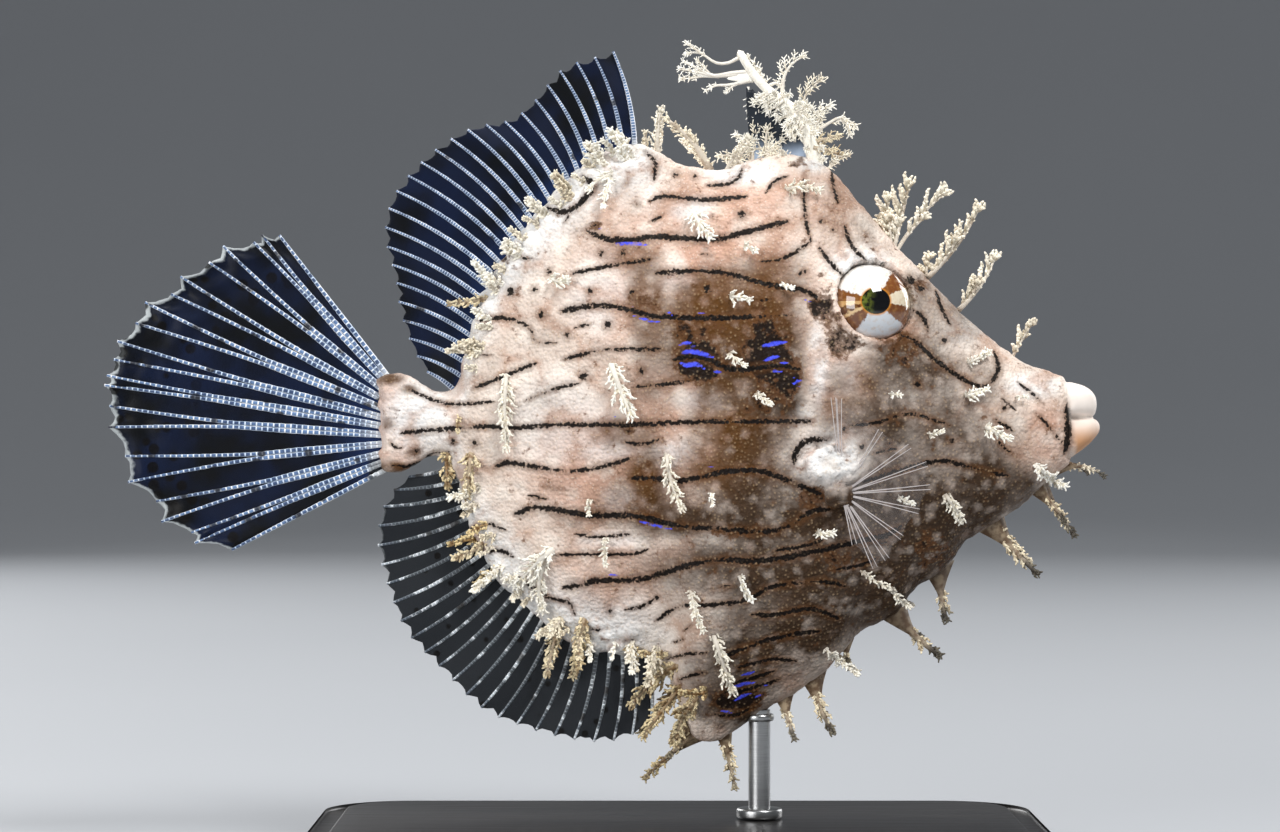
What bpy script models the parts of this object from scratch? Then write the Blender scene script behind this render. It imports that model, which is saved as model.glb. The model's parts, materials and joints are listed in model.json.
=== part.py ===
"""Tassel filefish, life size, as a still museum model held by a small display stand.

The fish hangs level as if swimming, with its mouth towards +X, its back up and its right side
towards -Y. The origin is on the floor under the middle of the model. Sizes and places below are
in millimetres, and the meshes are made in metres.
"""

import math
import random

import bmesh
import bpy
from mathutils import Vector

MM = 0.001

# The gap that neighbouring pieces keep, so that they meet face to face without crossing
GAP = 0.3

# Body: where the flesh starts at the tail fin and ends behind the lips
TAIL_END = -35.2
LIP_PLANE = 74.4
# Half of the narrow flat along the back and belly, which the fins stand on
RIM_HALF = 1.0
# The line of the back from tail to mouth, as (x, z)
BACK_LINE = [
    (-36.0, 76.9), (-33.0, 77.4), (-30.6, 76.8), (-28.2, 75.2), (-26.0, 74.4), (-24.0, 74.9),
    (-22.7, 76.9), (-21.7, 80.2), (-21.0, 84.0), (-19.8, 88.2), (-18.0, 92.0), (-15.8, 95.8),
    (-13.0, 99.8), (-9.6, 103.8), (-6.5, 107.2), (-3.0, 110.6), (1.0, 113.1), (5.2, 114.2),
    (9.0, 112.6), (13.0, 110.6), (18.0, 109.8), (23.0, 111.2), (28.0, 112.2), (33.0, 112.0),
    (36.2, 109.8), (40.0, 105.6), (45.0, 99.8), (50.0, 94.2), (55.0, 89.4), (60.0, 84.8),
    (65.0, 80.2), (68.0, 78.5), (71.5, 77.6), (75.0, 76.0),
]
# The line of the belly from tail to chin, with the keel of the pelvis as its lowest stretch
BELLY_LINE = [
    (-36.0, 61.4), (-33.0, 61.4), (-30.6, 62.4), (-28.2, 63.8), (-26.0, 64.2), (-24.2, 63.2),
    (-22.9, 60.4), (-22.2, 56.4), (-21.1, 52.6), (-19.0, 48.6), (-16.5, 44.8), (-13.5, 41.4),
    (-10.0, 37.8), (-6.0, 34.8), (-2.0, 33.4), (3.0, 32.4), (7.4, 31.7), (9.6, 30.6),
    (11.1, 27.8), (12.2, 24.4), (13.2, 21.2), (14.8, 19.0), (17.5, 18.5), (20.5, 19.9),
    (24.0, 22.2), (28.0, 24.6), (32.0, 27.2), (35.6, 29.8), (38.6, 32.8), (41.0, 36.0),
    (44.0, 37.5), (47.0, 39.2), (50.0, 42.9), (53.0, 44.8), (55.6, 47.2), (57.6, 50.2),
    (60.2, 51.6), (63.5, 53.8), (66.5, 56.1), (69.5, 58.4), (72.5, 61.2), (75.0, 63.2),
]
# Half of the widest breadth of each upright slice, as (x, half)
BREADTH = [
    (-36.0, 2.1), (-30.0, 3.0), (-24.0, 3.8), (-16.0, 5.6), (-6.0, 8.0), (5.0, 10.2),
    (16.0, 11.8), (27.0, 12.8), (37.0, 13.0), (45.0, 12.3), (53.0, 10.6), (61.0, 8.4),
    (68.0, 6.6), (75.0, 5.0),
]
# How fast a slice thins towards the back and belly: 0.5 is an ellipse, more is a sharper lens
LENS_POWER = [(-36.0, 0.5), (-24.0, 0.58), (-10.0, 0.72), (50.0, 0.72), (66.0, 0.6), (75.0, 0.5)]
# Upright slices: how far apart they are, and how much an outline may climb between two
SLICE_STEP = 3.4
SLICE_RISE = 3.4
SLICE_POINTS = 8

# Cuts between the flesh nodes, as (x, z) from top to bottom or from left to right
GILL_CUT = [(36.6, 125.0), (34.8, 100.0), (34.8, 84.0), (36.8, 75.0), (41.6, 69.0), (44.0, 62.0),
            (42.6, 52.0), (41.2, 42.0), (40.6, 10.0)]
STALK_CUT_X = -26.6
CUTTER_HALF = 40.0
KEEL_CUT = [(5.0, 32.9), (9.0, 31.9), (13.6, 30.2), (18.2, 26.6), (22.4, 18.0)]

# Eyes
EYE_X, EYE_Z = 42.9, 88.7
EYE_RADIUS = 6.1
EYE_DEPTH_RADIUS = 4.6
EYE_SUNK = 1.8
RIM_TUBE = 0.8
# Nostrils, two small pits ahead of each eye, as (x, z)
NOSTRILS = [(51.2, 89.6), (53.0, 88.6)]
NOSTRIL_RADIUS = 0.5
# Swollen lips, as slices (x, lowest z, highest z, half breadth)
UPPER_LIP = [(74.7, 70.35, 75.9, 4.8), (76.2, 70.35, 75.6, 4.6), (77.6, 70.4, 75.1, 4.1),
             (78.7, 70.5, 74.2, 3.2), (79.3, 70.9, 73.0, 1.8)]
LOWER_LIP = [(74.7, 63.7, 70.05, 4.6), (76.2, 64.6, 70.05, 4.4), (77.6, 65.8, 70.05, 3.9),
             (78.8, 67.0, 70.0, 3.0), (79.6, 68.1, 69.7, 1.6)]
LIP_SIDES = 14
LIP_ROUND = 2.5

# Soft fins: where the root lies on the body, the free edge as (x, z), and how many rays
ROOT_CLEAR = 0.08
DORSAL_ROOT = (5.0, -23.9)
DORSAL_EDGE = [(1.6, 128.8), (-6.2, 126.3), (-10.6, 121.4), (-14.8, 118.0), (-21.4, 116.4),
               (-28.2, 112.0), (-33.2, 106.2), (-34.9, 99.6), (-33.2, 92.4), (-32.4, 87.2),
               (-30.4, 81.2), (-28.2, 77.6)]
DORSAL_RAYS = 25
ANAL_ROOT = (7.0, -23.6)
ANAL_EDGE = [(7.6, 20.6), (1.0, 18.4), (-6.6, 19.1), (-13.2, 20.9), (-19.4, 23.8),
             (-26.0, 30.2), (-31.2, 35.8), (-34.4, 43.0), (-36.1, 50.4), (-34.8, 57.0),
             (-31.2, 60.8)]
ANAL_RAYS = 24
# Tail fin: its rays from top to bottom, each with the place (x, z) of its end and half the
# spread of its two branches there, or 0 where it doesn't fork. Then the height of the fin's root
CAUDAL_RAYS = [(-51.8, 99.4, 0), (-55.3, 98.9, 1.0), (-62.0, 96.4, 2.1), (-68.4, 91.4, 1.6),
               (-75.0, 86.2, 2.4), (-78.4, 79.8, 1.1), (-79.4, 75.9, 0.6), (-78.9, 70.4, 2.0),
               (-76.0, 61.3, 2.4), (-69.8, 54.2, 1.9), (-65.0, 50.4, 0.9), (-59.4, 49.1, 0)]
CAUDAL_ROOT = (63.0, 75.6)
# Pectoral fins: centre of the root, and (angle from +X, length) of the fan's rays
PECTORAL_X, PECTORAL_Z = 37.0, 58.3
PECTORAL_FAN = [(94, 17.6), (62, 16.4), (30, 14.6), (0, 13.8), (-34, 13.0), (-66, 12.2), (-80, 12.0)]
PECTORAL_RAYS = 10
PECTORAL_TILT = math.radians(17)
# The fan stands this far off the flank, and its rays start this far from the centre of a fleshy lobe
FAN_OFF = 1.6
FAN_START = 1.1
FAN_LOBE = (2.4, 2.5, 1.5)
# The white pad of flesh above the pectoral root, and its half sizes
PAD_X, PAD_Z = 36.2, 63.8
PAD_SIZE = (5.4, 1.5, 2.9)
# Thickness of fins, halved: fleshy root, ridge of a ray at root and tip, membrane
ROOT_HALF = 0.9
RIDGE_HALF = 0.7
RIDGE_TIP_HALF = 0.4
MEMBRANE_HALF = 0.26
RAY_FOOT = 0.42
SCALLOP = 0.7
# Parts of a ray's length where its places lie
FIN_ROWS = (0, 0.12, 0.42, 0.72, 1)
CAUDAL_ROWS = (0, 0.1, 0.45, 0.72, 1)
PECTORAL_ROWS = (0, 0.45, 1)
# How far the rays of the two long fins bow towards the head
DORSAL_BOW = -0.05
ANAL_BOW = 0.04
# A forked ray is this wide, halved, before it parts at the given row of the fin's places
FORK_STEM = 0.3
FORK_ROW = 3

# First dorsal spine, from root to tip, and the membrane behind it
SPINE_LINE = [(33.4, 110.6), (31.5, 114.2), (28.6, 117.7), (25.9, 121.4), (23.5, 125.4), (21.9, 128.9)]
SPINE_RADII = [1.6, 1.5, 1.3, 1.1, 0.95, 0.6]
SPINE_SIDES = 8
SAIL_OUTLINE = [(32.0, 110.0), (31.0, 115.4), (26.2, 121.4), (23.9, 122.0), (24.3, 116.2), (26.4, 110.0)]
SAIL_HALF = 0.4

# Display stand: a flat base and one short rod
BASE_LENGTH, BASE_WIDTH, BASE_HEIGHT = 116.0, 62.0, 6.0
BASE_X = 12.0
BASE_CORNER = 14.0
BASE_EDGE = 1.0
ROD_X = 25.0
ROD_RADIUS = 1.75

# Skin tassels. Each is (root, bend, tip, width), with (x, z) places read along the fish.
# On the profile: snout, then chin and belly
SNOUT_LOCKS = [
    ((46.0, 97.6), (47.2, 101.8), (48.8, 107.2), 3.0),
    ((47.2, 97.0), (50.8, 103.0), (54.3, 106.2), 2.2),
    ((52.4, 91.9), (56.5, 97.2), (59.7, 103.2), 2.4),
    ((57.4, 87.2), (60.2, 91.4), (62.6, 95.7), 2.2),
    ((65.4, 79.8), (66.8, 82.4), (68.5, 85.3), 1.7),
]
CHIN_LOCKS = [
    ((72.6, 61.4), (76.4, 61.9), (79.8, 61.0), 1.3),
    ((69.8, 58.8), (72.6, 55.6), (75.2, 51.8), 2.6),
    ((62.2, 53.0), (64.8, 49.8), (68.8, 45.8), 3.0),
    ((53.4, 45.2), (53.9, 42.0), (54.8, 38.4), 2.8),
    ((46.4, 39.0), (49.2, 35.4), (53.8, 32.2), 2.8),
]
BELLY_LOCKS = [
    ((33.4, 28.2), (34.2, 24.6), (36.6, 20.2), 2.4),
    ((28.8, 25.2), (29.6, 22.6), (31.2, 19.2), 2.0),
]
KEEL_LOCKS = [
    ((19.0, 19.6), (20.1, 15.8), (21.3, 11.2), 2.4),
    ((14.6, 19.4), (10.6, 16.4), (7.0, 12.9), 2.0),
]
BACK_LOCKS = [
    ((8.8, 112.4), (8.2, 115.2), (8.3, 118.8), 2.2),
    ((17.2, 110.0), (14.6, 114.6), (10.4, 117.2), 3.0),
    ((19.8, 110.0), (21.2, 112.8), (22.9, 114.8), 2.0),
]
# On the flanks, on both sides
HEAD_FLANK_LOCKS = [
    ((53.8, 58.4), (55.0, 56.6), (56.5, 54.3), 2.0),
    ((46.4, 57.8), (47.4, 57.3), (48.8, 56.8), 1.3),
    ((45.0, 43.8), (46.4, 41.8), (48.6, 40.3), 1.5),
    ((68.2, 63.2), (70.0, 61.0), (72.8, 59.5), 2.0),
    ((58.0, 79.4), (59.4, 80.0), (61.0, 80.3), 1.5),
    ((57.2, 73.8), (58.6, 74.3), (60.3, 74.5), 1.4),
    ((60.6, 68.3), (62.0, 67.6), (63.9, 67.2), 1.8),
]
FLANK_LOCKS = [
    ((1.6, 79.4), (2.6, 75.6), (4.2, 71.2), 3.4),
    ((10.1, 65.2), (10.6, 60.6), (12.1, 56.2), 2.0),
    ((-15.2, 78.0), (-15.8, 72.0), (-15.3, 66.0), 2.6),
    ((14.2, 103.0), (14.6, 100.8), (15.6, 98.4), 2.4),
    ((28.8, 105.0), (31.2, 106.2), (33.8, 106.2), 2.0),
    ((-7.6, 49.8), (-10.2, 48.0), (-13.2, 45.6), 2.2),
    ((-8.6, 47.0), (-10.4, 44.2), (-10.2, 40.2), 2.0),
    ((21.7, 45.6), (22.0, 43.6), (23.4, 41.8), 1.5),
    ((13.6, 43.6), (14.0, 40.4), (15.6, 37.4), 1.6),
    ((17.0, 36.6), (18.8, 32.0), (20.6, 27.6), 2.5),
    ((33.6, 52.2), (34.6, 51.6), (36.2, 51.4), 1.3),
    ((38.2, 46.2), (40.8, 45.2), (43.4, 43.9), 1.6),
    ((35.0, 34.0), (37.0, 31.8), (39.8, 29.6), 1.6),
    ((24.0, 74.2), (24.8, 73.0), (26.0, 72.2), 1.3),
    ((0.9, 51.4), (0.4, 49.6), (0.3, 47.6), 1.2),
]
# Beside the soft fins' roots, on both sides, clear of the fins
ROOT_LOCKS = [
    ((-20.0, 64.4), (-20.4, 61.4), (-21.4, 58.2), 2.0),
    ((-24.4, 65.0), (-24.6, 62.8), (-24.4, 60.4), 1.5),
    ((-2.4, 39.6), (-4.4, 35.0), (-4.2, 30.2), 2.0),
    ((-6.0, 38.8), (-7.8, 34.2), (-8.6, 30.0), 1.8),
    ((-18.2, 89.4), (-21.2, 88.6), (-24.0, 88.4), 1.4),
]
KEEL_SIDE_LOCKS = [
    ((12.6, 27.4), (10.4, 24.4), (7.6, 20.8), 2.4),
    ((12.2, 30.0), (9.0, 28.8), (5.6, 25.2), 2.2),
    ((15.8, 25.0), (13.0, 22.6), (11.0, 19.0), 2.4),
]
# Tufts along the roots of the soft fins: how many, their reach and width
DORSAL_TUFTS = 8
ANAL_TUFTS = 6
TUFT_REACH = 2.6
TUFT_WIDTH = 1.7
TUFT_ROOT = 2.4
TUFT_SINK = 0.9
TUFT_CLEAR = 0.3
TUFT_LEAN = 0.5
# On the first dorsal spine
SPINE_LOCKS = [
    ((23.0, 126.6), (17.6, 126.6), (13.9, 130.0), 1.3),
    ((24.4, 123.8), (18.4, 124.2), (12.7, 126.2), 2.6),
    ((25.0, 122.8), (20.0, 123.2), (16.4, 122.4), 1.3),
    ((28.0, 118.8), (28.8, 123.6), (31.4, 128.0), 2.2),
    ((30.0, 116.2), (33.2, 119.4), (34.8, 123.8), 2.0),
    ((31.0, 115.2), (35.2, 117.2), (40.0, 117.0), 2.2),
    ((32.2, 113.6), (36.0, 113.8), (39.2, 112.6), 1.8),
    ((26.4, 120.6), (28.8, 120.8), (30.6, 119.0), 2.0),
    ((24.0, 124.6), (25.2, 126.2), (26.0, 127.4), 1.5),
]

# Every tassel is a flat lobed strip. Half its thickness, how deep it is rooted on a flank and how
# far it lifts off, then half its stem and the reach of a lobe as parts of the width
LOCK_HALF = 0.32
SINK = 1.3
STAND_OFF = 1.25
LIFTED_BY = 0.3
LOCK_STEM = 0.24
LOCK_LOBE = 0.42
# A lobe sits this far along its stretch, leans this far ahead, and thins to this part
LOBE_PLACE = 0.6
LOBE_LEAN = 0.7
LOBE_THIN = 0.5
TIP_THIN = 0.4
# Straight stretches in a tassel of the profile and in one of the flanks
PROFILE_STEPS = 5
FLANK_STEPS = 4
SEED = 7


def through(points, x):
    """Height at x of a smooth line through hand-set points that never overshoots them."""
    x = min(max(x, points[0][0]), points[-1][0])
    here = 0
    while points[here + 1][0] < x:
        here += 1
    (x0, z0), (x1, z1) = points[here], points[here + 1]
    width = x1 - x0
    t = (x - x0) / width
    start, end = slope(points, here) * width, slope(points, here + 1) * width
    rise = z0 * (1 + 2 * t) * (1 - t) ** 2 + z1 * (3 - 2 * t) * t ** 2
    return rise + start * t * (1 - t) ** 2 - end * (1 - t) * t ** 2


def slope(points, index):
    """Slope of that line at one of its points, level where the line turns."""
    before = points[max(index, 1) - 1]
    here = points[index]
    after = points[min(index, len(points) - 2) + 1]
    if index == 0 or index == len(points) - 1:
        return (after[1] - before[1]) / (after[0] - before[0])
    left = (here[1] - before[1]) / (here[0] - before[0])
    right = (after[1] - here[1]) / (after[0] - here[0])
    return 0.0 if left * right <= 0 else 2 * left * right / (left + right)


def back(x):
    return through(BACK_LINE, x)


def belly(x):
    return through(BELLY_LINE, x)


def skin(x, z):
    """Half breadth of the body at a place seen from the side."""
    middle = (back(x) + belly(x)) / 2
    level = (z - middle) / (back(x) - middle)
    bulge = max(0.0, 1 - level * level) ** through(LENS_POWER, x)
    return RIM_HALF + (through(BREADTH, x) - RIM_HALF) * bulge


def skin_normal(x, z, side):
    """Outward direction of the skin at a place on one side (-1 is the right side)."""
    step = 0.4
    lean_x = (skin(x + step, z) - skin(x - step, z)) / (2 * step)
    lean_z = (skin(x, z + step) - skin(x, z - step)) / (2 * step)
    return Vector((-lean_x, side, -lean_z)).normalized()


def material(name, hex_colour, roughness):
    """Plain finish: an sRGB hex colour and a roughness."""
    made = bpy.data.materials.new(name)
    made.use_nodes = True
    channels = [int(hex_colour[i:i + 2], 16) / 255 for i in (0, 2, 4)]
    linear = [c / 12.92 if c <= 0.04045 else ((c + 0.055) / 1.055) ** 2.4 for c in channels]
    shader = made.node_tree.nodes["Principled BSDF"]
    shader.inputs["Base Color"].default_value = (*linear, 1)
    shader.inputs["Roughness"].default_value = roughness
    shader.inputs["Metallic"].default_value = 0.0
    return made


def finish(name, bm, collection, made=None):
    """Turn a bmesh in millimetres into an object with its faces split and pointing out."""
    bmesh.ops.triangulate(bm, faces=bm.faces)
    bmesh.ops.recalc_face_normals(bm, faces=bm.faces)
    bmesh.ops.scale(bm, vec=(MM, MM, MM), verts=bm.verts)
    mesh = bpy.data.meshes.new(name)
    bm.to_mesh(mesh)
    bm.free()
    obj = bpy.data.objects.new(name, mesh)
    collection.objects.link(obj)
    if made:
        mesh.materials.append(made)
    return obj


def loft(bm, rings):
    """Closed body through rings of equally many points, with flat ends."""
    loops = [[bm.verts.new(point) for point in ring] for ring in rings]
    for near, far in zip(loops, loops[1:]):
        for i in range(len(near)):
            j = (i + 1) % len(near)
            bm.faces.new((near[i], near[j], far[j], far[i]))
    bm.faces.new(loops[0])
    bm.faces.new(loops[-1])


def side_prism(name, outline, half, collection):
    """Flat plate or cutter: an outline seen from the side, as thick as twice half."""
    bm = bmesh.new()
    face = bm.faces.new([bm.verts.new((x, -half, z)) for x, z in outline])
    pushed = bmesh.ops.extrude_face_region(bm, geom=[face])["geom"]
    moved = [item for item in pushed if isinstance(item, bmesh.types.BMVert)]
    bmesh.ops.translate(bm, vec=(0, 2 * half, 0), verts=moved)
    return finish(name, bm, collection)


def settle(obj):
    """Replace an object's mesh by what its modifiers make of it."""
    bpy.context.view_layer.update()
    graph = bpy.context.evaluated_depsgraph_get()
    made = bpy.data.meshes.new_from_object(obj.evaluated_get(graph))
    obj.modifiers.clear()
    old, obj.data = obj.data, made
    bpy.data.meshes.remove(old)
    made.name = obj.name


def drop(obj):
    mesh = obj.data
    bpy.data.objects.remove(obj)
    bpy.data.meshes.remove(mesh)


def cut(obj, cutter, operation="DIFFERENCE"):
    """Cut one object by another and remove the cutter."""
    cutter.hide_render = True
    cutter.display_type = "WIRE"
    step = obj.modifiers.new("cut", "BOOLEAN")
    step.operation = operation
    step.object = cutter
    settle(obj)
    drop(cutter)


def fuse(obj, pieces):
    """Join all of a collection's closed pieces to an object by one union, then remove them."""
    if not pieces.objects:
        return
    step = obj.modifiers.new("fuse", "BOOLEAN")
    step.operation = "UNION"
    step.operand_type = "COLLECTION"
    step.collection = pieces
    settle(obj)
    for piece in list(pieces.objects):
        drop(piece)


def largest_surface(obj):
    """Keep the largest closed surface of an object's mesh."""
    bm = bmesh.new()
    bm.from_mesh(obj.data)
    left = set(bm.verts)
    surfaces = []
    while left:
        stack = [left.pop()]
        found = set(stack)
        while stack:
            for edge in stack.pop().link_edges:
                for vert in edge.verts:
                    if vert in left:
                        left.remove(vert)
                        found.add(vert)
                        stack.append(vert)
        faces = {face for vert in found for face in vert.link_faces}
        size = sum(abs(face.calc_center_median().dot(face.normal)) * face.calc_area() for face in faces)
        surfaces.append((size, found))
    surfaces.sort(key=lambda item: item[0])
    loose = [vert for _, found in surfaces[:-1] for vert in found]
    bmesh.ops.delete(bm, geom=loose, context="VERTS")
    bmesh.ops.triangulate(bm, faces=bm.faces)
    bm.to_mesh(obj.data)
    bm.free()


def along(points, part):
    """Place at a part (0 to 1) of the length of a smooth curve through (x, z) points."""
    knots = [Vector((x, 0, z)) for x, z in points]
    lengths = [(b - a).length for a, b in zip(knots, knots[1:])]
    want = part * sum(lengths)
    here = 0
    while here < len(lengths) - 1 and want > lengths[here]:
        want -= lengths[here]
        here += 1
    t = min(1.0, want / lengths[here])
    p1, p2 = knots[here], knots[here + 1]
    p0 = knots[here - 1] if here else p1 * 2 - p2
    p3 = knots[here + 2] if here + 2 < len(knots) else p2 * 2 - p1
    return 0.5 * (2 * p1 + (p2 - p0) * t + (2 * p0 - 5 * p1 + 4 * p2 - p3) * t * t
                  + (3 * p1 - p0 - 3 * p2 + p3) * t ** 3)


def root_line(line, span, count):
    """Evenly spaced (x, z) places along an outline from span[0] to span[1]."""
    fine = 200
    walk = [span[0] + (span[1] - span[0]) * i / fine for i in range(fine + 1)]
    trail = [(x, through(line, x)) for x in walk]
    reach = [0.0]
    for (x0, z0), (x1, z1) in zip(trail, trail[1:]):
        reach.append(reach[-1] + math.hypot(x1 - x0, z1 - z0))
    places = []
    here = 0
    for i in range(count):
        want = reach[-1] * i / (count - 1)
        while here < fine - 1 and reach[here + 1] < want:
            here += 1
        places.append(trail[here if want <= reach[here] else here + 1])
    return places


def outward(line, x, up):
    """Direction straight out of an outline at x, up from the back or down from the belly."""
    step = 0.25
    run = Vector((2 * step, 0, through(line, x + step) - through(line, x - step)))
    return Vector((-run.z, 0, run.x)).normalized() * up


def frond(bm, path, halves, reach, flat, leaves):
    """Closed flat tassel: a tapering strip along its path with pointed lobes to both sides.

    leaves says for each stretch of the path which sides carry a lobe (1, -1, or both). The two
    faces are split into triangles alike, and the thickness falls off towards every point.
    """
    last = len(path) - 1
    outline = {1: [], -1: []}
    for sign in (1, -1):
        edges = {1: [], -1: []}
        for i, place in enumerate(path[:-1]):
            run = (path[i + 1] - path[max(i - 1, 0)]).normalized()
            across = run.cross(flat).normalized()
            lift = across.cross(run).normalized() * LOCK_HALF * sign
            for side in (1, -1):
                edges[side].append(bm.verts.new(place + across * halves[i] * side + lift))
        tip = bm.verts.new(path[-1] + lift * TIP_THIN)
        border = {1: [edges[1][0]], -1: [edges[-1][0]]}
        for i in range(last - 1):
            near, far = edges[1][i], edges[1][i + 1]
            bm.faces.new((near, edges[-1][i], edges[-1][i + 1]))
            bm.faces.new((near, edges[-1][i + 1], far))
            run = (path[i + 1] - path[i]).normalized()
            across = run.cross(flat).normalized()
            lift = across.cross(run).normalized() * LOCK_HALF * sign
            for side in (1, -1):
                if side in leaves[i]:
                    out = path[i].lerp(path[i + 1], LOBE_PLACE) + run * reach * LOBE_LEAN
                    out = out + across * side * (halves[i] + reach) + lift * LOBE_THIN
                    lobe = bm.verts.new(out)
                    bm.faces.new((edges[side][i], edges[side][i + 1], lobe))
                    border[side].append(lobe)
                border[side].append(edges[side][i + 1])
        bm.faces.new((edges[1][-1], edges[-1][-1], tip))
        outline[sign] = border[1] + [tip] + border[-1][::-1]
    for i in range(len(outline[1])):
        j = (i + 1) % len(outline[1])
        bm.faces.new((outline[1][i], outline[1][j], outline[-1][j], outline[-1][i]))


def lock_path(root, bend, tip, height, steps):
    """Points of a tassel: a curve from root by bend to tip, at a height given for each point."""
    path = []
    for i in range(steps + 1):
        t = i / steps
        x = root[0] * (1 - t) ** 2 + 2 * bend[0] * t * (1 - t) + tip[0] * t * t
        z = root[1] * (1 - t) ** 2 + 2 * bend[1] * t * (1 - t) + tip[1] * t * t
        path.append(Vector((x, height(x, z, t), z)))
    return path


def tassel(pieces, path, width, both, chance):
    """One branched skin tassel; both says whether its lobes are in pairs or alternate."""
    last = len(path) - 1
    halves = [width * LOCK_STEM * (1 - 0.5 * i / last) for i in range(last)]
    leaves = [()] + [(1, -1) if both else ((1,) if i % 2 else (-1,)) for i in range(last - 2)]
    reach = width * LOCK_LOBE * chance.uniform(0.85, 1.15)
    bm = bmesh.new()
    frond(bm, path, halves, reach, Vector((0, 1, 0)), leaves)
    finish("tassel", bm, pieces)


def profile_tassels(pieces, table, chance):
    """Tassels on the midline, rooted inside the outline."""
    for root, bend, tip, width in table:
        sway = chance.uniform(-0.5, 0.5)
        path = lock_path(root, bend, tip, lambda x, z, t: sway * t, PROFILE_STEPS)
        tassel(pieces, path, width, True, chance)


def side_tassels(pieces, table, chance, clear):
    """Tassels on both flanks, which lift off the skin; the left ones differ a little."""
    for side in (-1, 1):
        for root, bend, tip, width in table:
            shift = Vector((0, 0, 0)) if side < 0 else Vector((chance.uniform(-0.8, 0.8), 0, 0))
            places = [(x + shift.x, z) for x, z in (root, bend, tip)]

            def height(x, z, t):
                lifted = min(1.0, t / LIFTED_BY)
                return side * max(skin(x, z) + lifted * (STAND_OFF + SINK) - SINK, clear * lifted)

            tassel(pieces, lock_path(*places, height, FLANK_STEPS), width, False, chance)


def edge_tufts(pieces, line, span, count, up, chance):
    """Short tufts beside the root of a soft fin, on both sides."""
    places = root_line(line, span, count + 2)[1:-1]
    for side in (-1, 1):
        for x, z in places:
            out = outward(line, x, up)
            start = Vector((x, 0, z)) - out * TUFT_ROOT
            end = Vector((x, 0, z)) + out * TUFT_REACH * chance.uniform(0.8, 1.1)
            end.x += chance.uniform(-TUFT_LEAN, TUFT_LEAN)
            off = RIM_HALF + GAP + LOCK_HALF + TUFT_CLEAR
            path = []
            for t in (0.0, 0.4, 0.7, 1.0):
                place = start.lerp(end, t)
                place.y = side * (skin(start.x, start.z) - TUFT_SINK if t == 0 else off + TUFT_LEAN * t)
                path.append(place)
            tassel(pieces, path, TUFT_WIDTH, True, chance)


def ray_fin(name, rays, flat, made, parts, forks=None):
    """Thin fin: a membrane whose rays are ridges in its own surface, alike on both faces.

    Each ray is a list of places from root to tip. flat is the direction of the thickness.
    forks holds half the spread of each ray's two branches at the tip, 0 for a ray without.
    """
    last = len(rays[0]) - 1
    columns = []
    for i, ray in enumerate(rays):
        reach = forks[i] if forks else 0
        if i:
            columns.append(foot_column(ray, rays[i - 1], last, reach))
        if reach:
            columns.extend(forked_columns(ray, rays[i - 1], rays[i + 1], last, reach))
        else:
            columns.append(crest_column(ray, last))
        if i < len(rays) - 1:
            columns.append(foot_column(ray, rays[i + 1], last, reach))
    bm = bmesh.new()
    faces = {}
    for sign in (-1, 1):
        faces[sign] = [[bm.verts.new(place + flat * sign * half) for place, half in column]
                       for column in columns]
        for left, right in zip(faces[sign], faces[sign][1:]):
            for row in range(last):
                bm.faces.new((left[row], right[row], right[row + 1]))
                bm.faces.new((left[row], right[row + 1], left[row + 1]))
    rim = ([(c, 0) for c in range(len(columns))] + [(len(columns) - 1, r) for r in range(1, last + 1)]
           + [(c, last) for c in range(len(columns) - 2, -1, -1)] + [(0, r) for r in range(last - 1, 0, -1)])
    for (c0, r0), (c1, r1) in zip(rim, rim[1:] + rim[:1]):
        bm.faces.new((faces[-1][c0][r0], faces[-1][c1][r1], faces[1][c1][r1], faces[1][c0][r0]))
    return finish(name, bm, parts, made)


def ridge_half(row, last):
    if row == 0:
        return ROOT_HALF
    return RIDGE_HALF + (RIDGE_TIP_HALF - RIDGE_HALF) * row / last


def membrane_half(row):
    return ROOT_HALF if row == 0 else MEMBRANE_HALF


def crest_column(ray, last):
    return [(place, ridge_half(row, last)) for row, place in enumerate(ray)]


def foot_column(ray, neighbour, last, reach=0.0):
    """The membrane just beside a ray, drawn in a little at the free edge for the scallop."""
    column = []
    for row, place in enumerate(ray):
        aside = neighbour[row] - place
        foot = RAY_FOOT
        if reach:
            foot += FORK_STEM + (reach - FORK_STEM) * max(0, row - FORK_ROW + 1) / (last - FORK_ROW + 1)
        spot = place + aside.normalized() * min(foot, aside.length * 0.42)
        if row == last:
            spot = spot + (ray[row - 1] - place).normalized() * SCALLOP
        column.append((spot, membrane_half(row)))
    return column


def forked_columns(ray, above, below, last, reach):
    """Three columns of a forked ray: its two branches and the membrane between them."""
    columns = []
    for neighbour in (above, None, below):
        column = []
        for row, place in enumerate(ray):
            parted = max(0, row - FORK_ROW + 1) / (last - FORK_ROW + 1)
            if neighbour:
                aside = (neighbour[row] - place).normalized()
                spread = FORK_STEM + (reach - FORK_STEM) * parted
                column.append((place + aside * spread, ridge_half(row, last)))
            else:
                inset = (ray[row - 1] - place).normalized() * SCALLOP if row == last else Vector()
                column.append((place + inset, MEMBRANE_HALF if parted else ridge_half(row, last)))
        columns.append(column)
    return columns


def curved_ray(root, tip, bow, rows):
    """Places along a ray that bows to one side; rows are parts of its length."""
    aside = Vector((-(tip.z - root.z), 0, tip.x - root.x)) * bow
    return [root.lerp(tip, t) + aside * 4 * t * (1 - t) for t in rows]


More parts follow.
